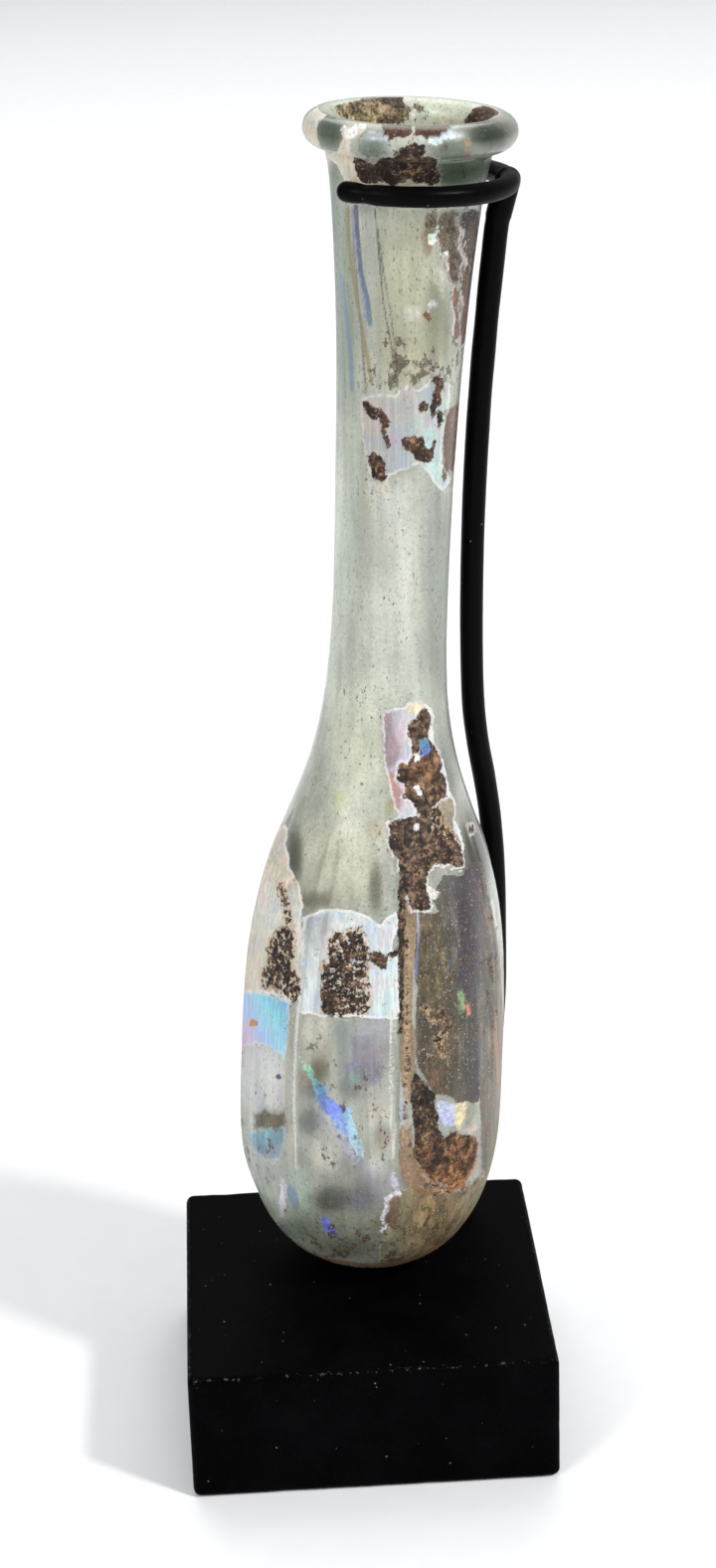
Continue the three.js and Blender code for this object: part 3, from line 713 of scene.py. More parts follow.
UPPER_BODY: tuple[Patch, ...] = (
    Patch("left pearly film", FILM, ((287, 828), (290, 839), (287, 849), (291, 862), (291, 874), (301, 888),
        (303, 902), (305, 913), (302, 923), (304, 943), (306, 974), (305, 1005), (291, 1006), (279, 1000),
        (269, 999), (257, 998), (236, 998), (240, 964), (247, 923), (256, 886), (266, 860), (276, 838)),
        inks=((226, 216, 202), (234, 230, 222), (226, 212, 196)), along=((250, 940), (302, 890)),
        cover=0.88, edge=0.8),
    Patch("white film in the middle", FILM, ((305, 921), (314, 919), (322, 915), (334, 914), (351, 915),
        (365, 919), (372, 923), (379, 929), (383, 931), (389, 923), (396, 919), (401, 914), (401, 935),
        (396, 943), (394, 958), (401, 960), (400, 984), (402, 1005), (404, 1025), (394, 1025), (375, 1025),
        (359, 1022), (342, 1023), (326, 1023), (310, 1020), (300, 1017), (302, 994), (304, 964),
        (304, 943)), inks=((196, 198, 200), (224, 226, 230), (214, 218, 226), (222, 230, 234)),
        along=((304, 930), (401, 980)), cover=0.92, edge=0.8),
    Patch("olive panel", FILM, ((419, 917), (447, 919), (449, 964), (451, 994), (432, 1011), (422, 1004),
        (417, 984), (415, 960)), inks=((104, 92, 72), (102, 88, 60)), along=((420, 920), (440, 990)),
        cover=0.92),
    Patch("silver and violet film", FILM, ((433, 905), (438, 893), (446, 880), (466, 880), (476, 866),
        (484, 866), (494, 911), (506, 964), (512, 1060), (479, 1060), (475, 1004), (449, 994), (447, 943),
        (442, 915)), inks=((100, 94, 84), (98, 92, 88), (72, 64, 70), (92, 85, 90), (134, 125, 118),
        (152, 147, 142)), along=((440, 943), (505, 943)), cover=0.93),
    # Painted highlights: an orange line and a pale line down the body's right edge
    Patch("orange painted highlight on the right edge", LINE, ((487, 905), (495, 960), (499, 1020), (501, 1090)),
        inks=((198, 150, 116),), cover=0.5, half_width=1.1),
    Patch("pale painted highlight on the right edge", LINE, ((495, 905), (504, 960), (508, 1030), (508, 1090)),
        inks=((216, 208, 202),), cover=0.55, half_width=1.3),
    Patch("violet-black streak", FLAKE, ((465, 894), (473, 902), (477, 933), (477, 964), (473, 988),
        (465, 990), (461, 964), (464, 933)), inks=((62, 52, 62),), cover=0.5),
    Patch("chalky chip", FLAKE, ((429, 888), (436, 894), (444, 898), (440, 904), (432, 906), (430, 898)),
        inks=((218, 214, 206),), cover=0.85),
    Patch("white line under the soil", LINE, ((435, 871), (446, 872), (457, 875), (466, 877)),
        inks=((222, 218, 214),), half_width=1.5),
    Patch("grey bruise", FLAKE, ((309, 922), (330, 919), (332, 935), (318, 952), (309, 940)),
        inks=((158, 158, 156),), cover=0.5),
    Patch("blue line", LINE, ((421, 917), (421, 945), (419, 964), (418, 986)), inks=((200, 208, 226),
        (120, 134, 186), (104, 120, 190)), along=((421, 917), (418, 986)), cover=0.7, half_width=1.5),
    Patch("tan soil band", FLAKE, ((403, 894), (413, 910), (421, 916), (420, 935), (417, 964), (415, 994),
        (413, 1021), (416, 1033), (419, 1047), (417, 1068), (420, 1082), (413, 1098), (407, 1130),
        (404, 1160), (401, 1160), (402, 1040), (403, 960)), inks=((140, 118, 92), (150, 130, 100),
        (150, 128, 96)), along=((410, 900), (404, 1150)), cover=0.92),
    Patch("dark edge of the soil band", SOIL, ((401, 880), (407, 890), (407, 930), (406, 980), (405, 1040),
        (401, 1040), (401, 980), (400, 930)), inks=((66, 50, 38),)),
    Patch("soil chunk", SOIL, ((371, 960), (376, 955), (384, 957), (388, 961), (398, 954), (401, 956),
        (398, 961), (389, 963), (389, 974), (381, 974), (376, 968), (371, 965)), inks=((58, 42, 32),)),
    Patch("soil specks on the left film", SPECK, ((279, 931), (296, 932), (298, 949), (297, 974),
        (302, 984), (304, 1007), (296, 1009), (287, 1005), (279, 998), (263, 994), (262, 976), (269, 968),
        (268, 954), (274, 941))),
    Patch("sparse specks on the left film", SPECK, ((282, 892), (288, 912), (292, 934)), half_width=5),
    Patch("specks on the soil band", SPECK, ((408, 925), (409, 990), (409, 1050), (408, 1100), (406, 1150)),
        half_width=2.0),
    Patch("crumbs on the right", SPECK, ((426, 1014), (436, 1026), (446, 1018), (452, 1034), (440, 1046),
        (446, 1060)), half_width=4.5),
    Patch("crumbs under the crust", SPECK, ((424, 1176), (444, 1198), (470, 1192)), half_width=4),
    Patch("soil specks on the middle film", SPECK, ((333, 935), (347, 937), (351, 933), (365, 932),
        (371, 943), (372, 960), (375, 970), (371, 982), (374, 996), (373, 1015), (370, 1022), (334, 1023),
        (322, 1019), (322, 996), (321, 970), (328, 964), (330, 947))),
    Patch("solid corner of the specks", SOIL, ((324, 994), (334, 996), (341, 1004), (339, 1014),
        (334, 1021), (324, 1018)), inks=((56, 40, 30),)),
)

LOWER_BODY: tuple[Patch, ...] = (
    Patch("lilac and cyan film", FILM, ((232, 997), (261, 998), (273, 1001), (287, 1006), (292, 1007),
        (291, 1027), (291, 1047), (287, 1066), (281, 1058), (267, 1051), (257, 1050), (247, 1052),
        (232, 1056)), inks=((222, 198, 232), (190, 212, 255), (158, 232, 250), (146, 196, 232)),
        along=((244, 1036), (290, 1014)), cover=0.88, edge=0.3),
    Patch("grey-white film", FILM, ((234, 1058), (257, 1052), (267, 1053), (281, 1060), (287, 1068),
        (290, 1090), (290, 1110), (281, 1118), (259, 1118), (236, 1118)), inks=((226, 206, 236),
        (232, 232, 228), (206, 204, 212)), along=((250, 1050), (280, 1108)), cover=0.59),
    Patch("teal film", FILM, ((250, 1138), (262, 1136), (287, 1132), (288, 1147), (283, 1164), (275, 1170),
        (265, 1164), (256, 1158)), inks=((136, 192, 200), (110, 148, 180), (172, 176, 190)),
        along=((258, 1138), (272, 1168)), cover=0.76, edge=0.35),
    Patch("green film", FILM, ((259, 1188), (267, 1192), (279, 1202), (278, 1210), (270, 1207),
        (261, 1197)), inks=((155, 190, 160),), cover=0.5),
    Patch("upright teal film", FILM, ((338, 1030), (351, 1027), (354, 1066), (364, 1076), (361, 1090),
        (345, 1091), (338, 1068)), inks=((136, 156, 150),), cover=0.5),
    Patch("violet-grey film", FILM, ((352, 1042), (379, 1040), (381, 1088), (364, 1094), (363, 1076),
        (353, 1068)), inks=((144, 136, 150),), cover=0.72),
    Patch("cream specks on the left", FILM, ((316, 1135), (334, 1135), (350, 1163), (342, 1180),
        (318, 1178), (312, 1160)), inks=((196, 192, 174),), cover=0.5),
    Patch("cream specks on the right", FILM, ((361, 1110), (393, 1102), (396, 1163), (367, 1163),
        (363, 1143), (357, 1123)), inks=((195, 188, 170),), cover=0.5),
    Patch("violet haze", FILM, ((363, 1176), (389, 1176), (400, 1194), (383, 1202), (371, 1190)),
        inks=((150, 142, 162),), cover=0.4),
    Patch("mottled film on the right", FILM, ((419, 1000), (436, 1008), (452, 998), (478, 1000),
        (483, 1066), (482, 1108), (461, 1111), (451, 1102), (436, 1100), (426, 1082), (420, 1070),
        (417, 1041)), inks=((104, 92, 78), (94, 78, 54), (98, 88, 72), (80, 76, 76)), along=((420, 1060),
        (475, 1060)), cover=0.92),
    Patch("striped right edge", FILM, ((479, 990), (514, 980), (514, 1102), (508, 1150), (496, 1186),
        (484, 1180), (484, 1131), (480, 1062)), inks=((108, 102, 98), (140, 130, 121), (166, 156, 146)),
        along=((478, 1050), (510, 1050)), cover=0.9),
    Patch("tan foot film", FILM, ((403, 1196), (424, 1196), (465, 1198), (491, 1176), (500, 1123),
        (512, 1135), (500, 1210), (471, 1245), (436, 1268), (395, 1280), (381, 1280), (383, 1251),
        (389, 1239), (395, 1225)), inks=((146, 138, 108), (140, 112, 72), (138, 126, 96)),
        along=((393, 1225), (490, 1225))),
    Patch("orange dot", FLAKE, ((251, 1028), (255, 1024), (261, 1028), (259, 1032), (252, 1033)),
        inks=((190, 130, 80),), cover=0.9),
    Patch("violet dot", FLAKE, ((278, 1080), (282, 1079), (283, 1084), (279, 1086)), inks=((85, 70, 120),),
        cover=0.9),
    Patch("olive square", FILM, ((256, 1119), (267, 1116), (281, 1119), (290, 1111), (289, 1131),
        (281, 1136), (257, 1136)), inks=((110, 104, 84),), edge=0.3),
    Patch("hooked white flake", FLAKE, ((282, 1184), (287, 1186), (290, 1196), (287, 1207), (286, 1223),
        (283, 1226), (281, 1213), (279, 1209), (283, 1198)), inks=((220, 215, 225),), cover=0.85),
    Patch("blue oval", FLAKE, ((290, 1190), (296, 1194), (302, 1207), (301, 1215), (296, 1215), (290, 1207),
        (289, 1196)), inks=((110, 150, 200), (96, 140, 150)), along=((291, 1192), (300, 1215))),
    Patch("green sliver", FLAKE, ((302, 1174), (308, 1184), (312, 1200), (310, 1221), (304, 1221),
        (301, 1196)), inks=((150, 185, 160),), cover=0.5),
    Patch("rainbow flake", FLAKE, ((300, 1051), (306, 1066), (313, 1073), (315, 1082), (326, 1091),
        (331, 1102), (342, 1111), (353, 1114), (355, 1131), (358, 1139), (363, 1150), (366, 1164),
        (365, 1172), (359, 1164), (351, 1147), (347, 1143), (334, 1127), (322, 1113), (316, 1098),
        (310, 1082), (304, 1068)), inks=((206, 208, 204), (150, 200, 168), (116, 186, 186), (112, 142, 210),
        (126, 146, 238), (146, 180, 236), (168, 204, 224), (178, 196, 208)), along=((300, 1055),
        (362, 1165)), cover=0.92),
    Patch("shade under the rainbow flake", FILM, ((300, 1080), (312, 1104), (330, 1134), (346, 1156),
        (362, 1176), (350, 1184), (328, 1160), (308, 1130), (300, 1104)), inks=((104, 108, 104),
        (112, 110, 118)), along=((300, 1080), (360, 1176)), cover=0.5),
    Patch("cyan lip of the rainbow flake", FLAKE, ((344, 1114), (352, 1114), (356, 1130), (360, 1140),
        (366, 1152), (367, 1166), (360, 1150), (350, 1134)), inks=((150, 206, 236), (176, 216, 232),
        (190, 222, 216)), along=((348, 1114), (366, 1164)), cover=0.85),
    Patch("lilac fringe of the rainbow flake", FLAKE, ((318, 1106), (324, 1116), (336, 1130), (348, 1146),
        (356, 1162), (362, 1172), (352, 1168), (338, 1146), (324, 1128)), inks=((150, 146, 176),
        (176, 172, 208)), along=((320, 1110), (360, 1170)), cover=0.6),
    Patch("blue glints under the soil", FLAKE, ((400, 1080), (406, 1096), (408, 1120), (404, 1140),
        (400, 1120)), inks=((168, 176, 206),), cover=0.5),
    Patch("lilac tail of the rainbow flake", FILM, ((362, 1160), (370, 1172), (384, 1188), (392, 1206),
        (384, 1208), (370, 1194), (358, 1176)), inks=((160, 152, 184),), cover=0.55),
    Patch("violet and green spot", FLAKE, ((346, 1070), (356, 1066), (366, 1072), (367, 1084), (358, 1092),
        (348, 1086)), inks=((126, 118, 160), (128, 160, 146)), along=((348, 1070), (362, 1088)),
        cover=0.55),
    Patch("pinkish spot", FILM, ((366, 1096), (382, 1092), (392, 1102), (388, 1116), (370, 1116)),
        inks=((178, 158, 146),), cover=0.5),
    Patch("purple crumbs", SPECK, ((384, 1138), (388, 1144), (384, 1152)), half_width=3),
    Patch("violet shreds", FLAKE, ((318, 1122), (326, 1119), (337, 1137), (327, 1133)),
        inks=((150, 142, 180),), cover=0.5),
    Patch("low blue flake", FLAKE, ((322, 1223), (330, 1225), (334, 1233), (339, 1239), (338, 1243),
        (331, 1243), (326, 1237), (323, 1229)), inks=((112, 122, 206),), cover=0.9),
    Patch("upper lilac tooth", FLAKE, ((390, 1178), (396, 1176), (401, 1192), (400, 1198), (394, 1194)),
        inks=((195, 188, 212),)),
    Patch("brown beside the jagged edge", FLAKE, ((391, 1204), (403, 1202), (401, 1217), (398, 1237),
        (389, 1233), (387, 1225), (390, 1215)), inks=((115, 88, 66),), cover=0.85),
    Patch("jagged white edge", FLAKE, ((401, 1199), (393, 1203), (388, 1206), (389, 1215), (384, 1224),
        (387, 1235), (383, 1238)), inks=((228, 225, 226),), cover=0.95, half_width=2.1),
    # Painted shade in the middle rib's crease, painted highlights along the middle and left ribs, and
    # painted shade with brown dirt beside the left rib
    Patch("painted shade in the middle rib's crease", LINE, ((401, 1020), (401, 1070), (399, 1115), (400, 1165)),
        inks=((112, 114, 98),), cover=0.75, half_width=2.2),
    Patch("painted highlight along the middle rib", LINE, ((394, 1020), (393, 1070), (392, 1115), (396, 1165)),
        inks=((224, 220, 212),), cover=0.75, half_width=1.6),
    Patch("painted highlight along the left rib", LINE, ((300, 1010), (297, 1060), (296, 1110), (299, 1175)),
        inks=((226, 224, 218),), cover=0.7, half_width=1.5),
    Patch("shade of the left rib", LINE, ((293, 1010), (290, 1060), (289, 1110), (292, 1170)),
        inks=((164, 150, 128),), cover=0.6, half_width=2.0),
    Patch("green chip", FLAKE, ((460, 996), (466, 998), (468, 1011), (466, 1019), (461, 1019), (463, 1009)),
        inks=((150, 185, 130),), cover=0.75),
    Patch("orange chip", FLAKE, ((468, 1008), (472, 1008), (474, 1023), (470, 1023)),
        inks=((200, 130, 100),)),
    Patch("low soil patch", SOIL, ((417, 1078), (424, 1086), (434, 1097), (438, 1102), (437, 1113),
        (441, 1123), (440, 1133), (447, 1145), (457, 1137), (465, 1141), (477, 1143), (481, 1151),
        (478, 1168), (471, 1184), (465, 1192), (455, 1195), (436, 1186), (424, 1176), (416, 1164),
        (417, 1143), (415, 1123), (412, 1107), (413, 1090)), inks=((46, 36, 30), (58, 42, 32), (92, 62, 40),
        (146, 98, 56)), along=((420, 1090), (462, 1195))),
    Patch("lilac flake", CHIP, ((439, 1105), (447, 1108), (458, 1113), (457, 1123), (458, 1133),
        (447, 1132), (442, 1125), (440, 1115)), inks=((200, 204, 232), (172, 180, 225)), along=((440, 1106),
        (456, 1133)), cover=0.95),
    Patch("straw flake", CHIP, ((454, 1109), (464, 1109), (471, 1106), (470, 1113), (472, 1121),
        (465, 1127), (463, 1137), (457, 1133), (458, 1113)), inks=((222, 208, 165),), cover=0.95),
    Patch("olive flake", CHIP, ((471, 1111), (479, 1109), (480, 1119), (473, 1131), (466, 1133),
        (468, 1125)), inks=((120, 125, 90),), cover=0.75),
    Patch("pink flake", CHIP, ((467, 1137), (475, 1132), (480, 1128), (481, 1135), (473, 1141)),
        inks=((205, 172, 160),), cover=0.9),
    Patch("rust border", CHIP, ((417, 1168), (426, 1180), (438, 1190), (455, 1197), (467, 1192),
        (478, 1170)), inks=((168, 108, 62),), cover=0.75, half_width=2.2),
    Patch("rusty foot line", LINE, ((298, 1256), (326, 1266), (363, 1272), (404, 1270), (432, 1260),
        (465, 1241)), inks=((150, 96, 56), (168, 122, 92)), along=((298, 1256), (465, 1241)), cover=0.85,
        half_width=1.8),
    Patch("tan beside the low crust", FLAKE, ((402, 1140), (414, 1128), (416, 1160), (426, 1182),
        (446, 1198), (428, 1204), (408, 1192), (401, 1168)), inks=((134, 110, 82), (140, 104, 70)),
        along=((404, 1140), (430, 1200)), cover=0.86),
)

GRIMES = (
    Grime((415, 372), (56, 24), 0.95),
    Grime((398, 345), (22, 16), 0.8),
    Grime((468, 265), (22, 70), 0.9),
    Grime((452, 225), (26, 20), 0.7),
    Grime((466, 345), (10, 40), 0.8),
    Grime((462, 440), (8, 50), 0.8),
    Grime((388, 112), (50, 14), 0.9),
    Grime((410, 150), (60, 22), 0.35),
    Grime((448, 960), (34, 60), 0.8),
    Grime((446, 1050), (34, 52), 0.95),
    Grime((492, 1000), (14, 110), 0.5),
    Grime((486, 870), (14, 40), 0.3),
    Grime((440, 1235), (52, 34), 0.8),
    Grime((392, 1262), (80, 12), 0.7),
    Grime((450, 1196), (34, 16), 0.8),
    Grime((318, 1072), (14, 34), 0.5),
    Grime((380, 1140), (22, 40), 0.35),
    Grime((330, 1225), (60, 40), 0.35),
    Grime((288, 892), (12, 12), 0.4),
    Grime((411, 1110), (8, 60), 0.7),
    Grime((350, 1130), (40, 70), 0.45),
    Grime((262, 1150), (24, 60), 0.45),
    Grime((350, 1250), (60, 22), 0.8),
)

PATCHES = (*RIM, *MOUTH, *UPPER_NECK, *MIDDLE_NECK, *SHOULDER, *ON_SOIL, *UPPER_BODY, *LOWER_BODY)

WASHES = (
    # Rim and lip: all of these darker green spots, at both ends of the rim, on the lip's fold and under the
    # lip, are painted shade of the rolled lip
    Wash((331, 132), (15, 22), (84, 104, 84), 0.95, 0.4),
    Wash((492, 136), (26, 16), (44, 62, 46), 0.98, 0.42),
    Wash((466, 168), (34, 20), (104, 122, 108), 0.9, 0.5),
    Wash((345, 172), (16, 14), (128, 150, 132), 0.6, 0.5),
    Wash((455, 176), (24, 18), (78, 90, 78), 0.92, 0.5),
    Wash((375, 149), (16, 9), (112, 132, 108), 0.85, 0.45),
    Wash((448, 150), (24, 10), (104, 118, 104), 0.85, 0.5),
    # Neck: the darker spots down both edges are painted shade, and the pale strips down the middle and the
    # left are painted light through the glass
    Wash((334, 290), (7, 140), (70, 80, 80), 0.98, 0.45),
    Wash((374, 290), (7, 96), (232, 236, 230), 0.85, 0.62),
    Wash((352, 790), (15, 96), (254, 254, 236), 0.8, 0.66),
    Wash((452, 760), (9, 60), (140, 144, 136), 0.7, 0.5),
    Wash((322, 740), (7, 60), (172, 176, 166), 0.6, 0.5),
    Wash((408, 300), (40, 110), (200, 197, 164), 0.8, 0.8),
    Wash((440, 330), (14, 34), (168, 170, 140), 0.8, 0.6),
    Wash((438, 300), (10, 24), (164, 166, 138), 0.75, 0.6),
    Wash((346, 330), (13, 130), (160, 172, 152), 0.6, 0.6),
    Wash((466, 470), (9, 120), (150, 160, 150), 0.5, 0.6),
    Wash((348, 520), (12, 120), (238, 246, 232), 0.85, 0.66),
    Wash((390, 590), (30, 120), (244, 246, 232), 0.85, 0.62),
    Wash((440, 600), (16, 130), (160, 168, 158), 0.75, 0.6),
    Wash((345, 610), (12, 90), (214, 222, 208), 0.6, 0.6),
    Wash((366, 745), (40, 60), (240, 243, 220), 0.85, 0.66),
    # Painted highlights: small lime, tan and olive glints low on the neck
    Wash((342, 805), (8, 11), (225, 235, 178), 0.7),
    Wash((377, 833), (9, 9), (215, 190, 150), 0.7),
    Wash((392, 812), (6, 11), (190, 195, 120), 0.6),
    # Shoulder: the bright window is a painted glow through the glass, and the dark spots at its left and
    # right are painted shade
    Wash((312, 800), (16, 44), (196, 200, 184), 0.6, 0.55),
    Wash((340, 872), (46, 46), (250, 247, 222), 0.97, 0.64),
    Wash((296, 858), (8, 30), (122, 126, 108), 0.9, 0.35),
    Wash((378, 893), (7, 26), (146, 142, 120), 0.8, 0.4),
    Wash((316, 905), (16, 9), (158, 148, 118), 0.7, 0.3),
    Wash((480, 852), (18, 50), (94, 90, 80), 0.95, 0.45),
    # Body and foot
    Wash((320, 1050), (22, 34), (222, 216, 194), 0.9, 0.65),
    Wash((312, 1086), (12, 14), (150, 120, 86), 0.6),
    Wash((370, 1060), (26, 40), (172, 170, 176), 0.8, 0.6),
    Wash((262, 1086), (30, 32), (240, 240, 236), 0.9, 0.72),
    Wash((345, 1180), (60, 34), (166, 164, 150), 0.85, 0.55),
    Wash((290, 1215), (50, 40), (204, 212, 198), 0.9, 0.68),
    # Painted shade low across the foot, over the black block
    Wash((345, 1240), (64, 26), (172, 178, 156), 0.9, 0.62),
    Wash((440, 1235), (56, 34), (158, 138, 92), 0.85, 0.5),
    Wash((321, 1076), (10, 12), (140, 122, 86), 0.85, 0.45),
    Wash((318, 1036), (13, 17), (246, 243, 226), 0.95, 0.72),
    Wash((346, 1038), (14, 18), (176, 188, 178), 0.8, 0.55),
    Wash((374, 1038), (20, 13), (216, 218, 222), 0.8, 0.65),
    Wash((372, 1078), (12, 12), (100, 96, 104), 0.85, 0.45),
    Wash((352, 1094), (12, 12), (140, 144, 140), 0.7, 0.5),
    Wash((328, 1158), (17, 20), (238, 238, 226), 0.95, 0.7),
    Wash((376, 1122), (14, 16), (234, 232, 220), 0.9, 0.7),
    Wash((384, 1142), (10, 12), (134, 126, 124), 0.8, 0.5),
    Wash((378, 1172), (13, 13), (228, 230, 222), 0.85, 0.7),
    # Painted shade along the lower-left side of the rainbow flake, here and in the next spot
    Wash((312, 1128), (10, 16), (104, 108, 104), 0.8, 0.45),
    Wash((316, 1098), (10, 12), (120, 122, 120), 0.75, 0.5),
    # Painted shade over the heel, above the black block
    Wash((334, 1206), (22, 14), (104, 106, 96), 0.85, 0.4),
    Wash((365, 1206), (16, 14), (136, 134, 150), 0.75, 0.5),
    Wash((294, 1180), (16, 12), (206, 214, 206), 0.8, 0.65),
    Wash((258, 1180), (16, 22), (206, 210, 204), 0.85, 0.65),
    Wash((275, 1128), (16, 12), (96, 98, 84), 0.8, 0.4),
    # Painted shade at the foot over the black block, here and in the next spot
    Wash((352, 1254), (30, 10), (140, 146, 126), 0.85, 0.55),
    Wash((300, 1236), (24, 10), (146, 160, 146), 0.8, 0.6),
    Wash((410, 1180), (8, 16), (150, 140, 118), 0.85, 0.5),
    Wash((486, 1160), (14, 30), (186, 180, 166), 0.8, 0.62),
    Wash((480, 1215), (18, 20), (148, 148, 128), 0.8, 0.5),
    Wash((496, 1060), (12, 110), (190, 180, 164), 0.7, 0.6),
    Wash((474, 1040), (6, 62), (96, 92, 108), 0.75, 0.5),
    Wash((445, 1030), (26, 60), (140, 130, 108), 0.85, 0.6),
)


@dataclass(frozen=True)
class Weathering:
    """Lays the patches on the surface of the bottle as smooth values that the glass finish reads."""

    view: PhotoView
    form: BottleForm
    pixels_per_mm: float = 7.7
    margin: float = 16.0
    far: float = -4.0
    front_turn: float = -2.9
    wander: float = 14.0
    sink: float = -46.0

    def seen_pixels(self, spots: Spots) -> np.ndarray:
        """The photograph's pixels for each place on the wall.

        The half of the outer wall that the photograph doesn't show takes the pixels of the near half, from
        another height and moved by noise, more so the further it lies from the outline, where both halves
        meet. Inside the mouth it is the far half that the photograph shows.
        """
        aside = (spots.turn - self.front_turn + 180) % 360 - 180
        away = np.where(spots.inner, 180 - np.abs(aside), np.abs(aside))
        behind = away > 90
        mirrored = np.where(behind, np.sign(aside) * 180 - aside, aside)
        near = self.form.around(spots.height, spots.distance, self.front_turn + mirrored)
        pixels = self.view.project(near)
        place = self.form.around(spots.height, spots.distance, spots.turn)
        aside, upright = ValueNoise(31).rough(place, 9), 2.5 * ValueNoise(32).rough(place, 14)
        amount = smooth(away, 90, 135) * self.wander
        sunk = smooth(away, 90, 128)[..., None] * np.array([0.0, self.sink])
        return pixels + np.stack([aside, upright], axis=-1) * amount[..., None] + sunk

    def paint(self, pixels: np.ndarray, inner: np.ndarray, name: Layer) -> tuple[np.ndarray, np.ndarray]:
        """One layer's depth in millimetres, and its linear colour with its cover, at each place.

        A later patch overrides an earlier one inside itself, and outside all patches the nearest one's
        colour goes on, so no edge takes up a colour from beside it.

        Args:
            pixels: The photograph's pixels of each place.
            inner: Whether each place is on the inner wall.
            name: The layer.

        Returns:
            The depths, and rows of red, green, blue, cover and pale edge.
        """
        best = np.full(len(pixels), self.far * self.pixels_per_mm)
        ink = np.tile([*linear(Patch.inks[0]), 0.0, 0.0], (len(pixels), 1))
        for patch in (p for p in PATCHES if p.layer is name):
            outline = np.array(patch.outline, float)
            reach = self.margin + (patch.half_width or 0)
            near = np.all((pixels > outline.min(0) - reach) & (pixels < outline.max(0) + reach), axis=1)
            near &= inner == (patch.wall is Wall.INNER)
            if not near.any():
                continue
            depth = patch.depth(pixels[near])
            traits = np.full((depth.size, 2), (patch.cover, patch.edge))
            row = np.concatenate([patch.colour(pixels[near]), traits], axis=1)
            over = (depth > best[near]) | (depth > 0)
            ink[np.flatnonzero(near)[over]] = row[over]
            best[near] = np.maximum(best[near], depth)
        return best / self.pixels_per_mm, ink

    def grime(self, pixels: np.ndarray) -> np.ndarray:
        """How dirty the glass is at each place: the strongest soft spot there."""
        total = np.zeros(len(pixels))
        for spot in GRIMES:
            away = (pixels - np.array(spot.middle)) / np.array(spot.reach)
            total = np.maximum(total, spot.strength * np.exp(-((away**2).sum(1) ** 2)))
        return total

    def glass(self, pixels: np.ndarray) -> np.ndarray:
        """The glass's colour and milkiness at each place, from the soft spots laid over each other, some of
        them painted shade and painted light.
        """
        ink = np.tile([*linear(GLASS_INK), GLASS_MILK], (len(pixels), 1))
        for wash in WASHES:
            away = (pixels - np.array(wash.middle)) / np.array(wash.reach)
            share = (wash.strength * np.exp(-((away**2).sum(1) ** 2)))[:, None]
            milk = ink[:, 3:] if wash.milk is None else np.full((len(pixels), 1), wash.milk)
            target = np.concatenate([np.tile(linear(wash.ink), (len(pixels), 1)), milk], axis=1)
            ink = ink * (1 - share) + target * share
        return ink


# Materials


NOISE_STEPS = (0.137, 0.091, 0.053)
CELL_STEPS = (0.173, 0.119, 0.067)


@dataclass(frozen=True)
class Grain:
    """A noise of a finish: its grains' width in mm, octaves, roughness, seed and height for width."""

    width: float
    detail: float = 3
    rough: float = 0.55
    seed: float = 0
    tall: float = 1


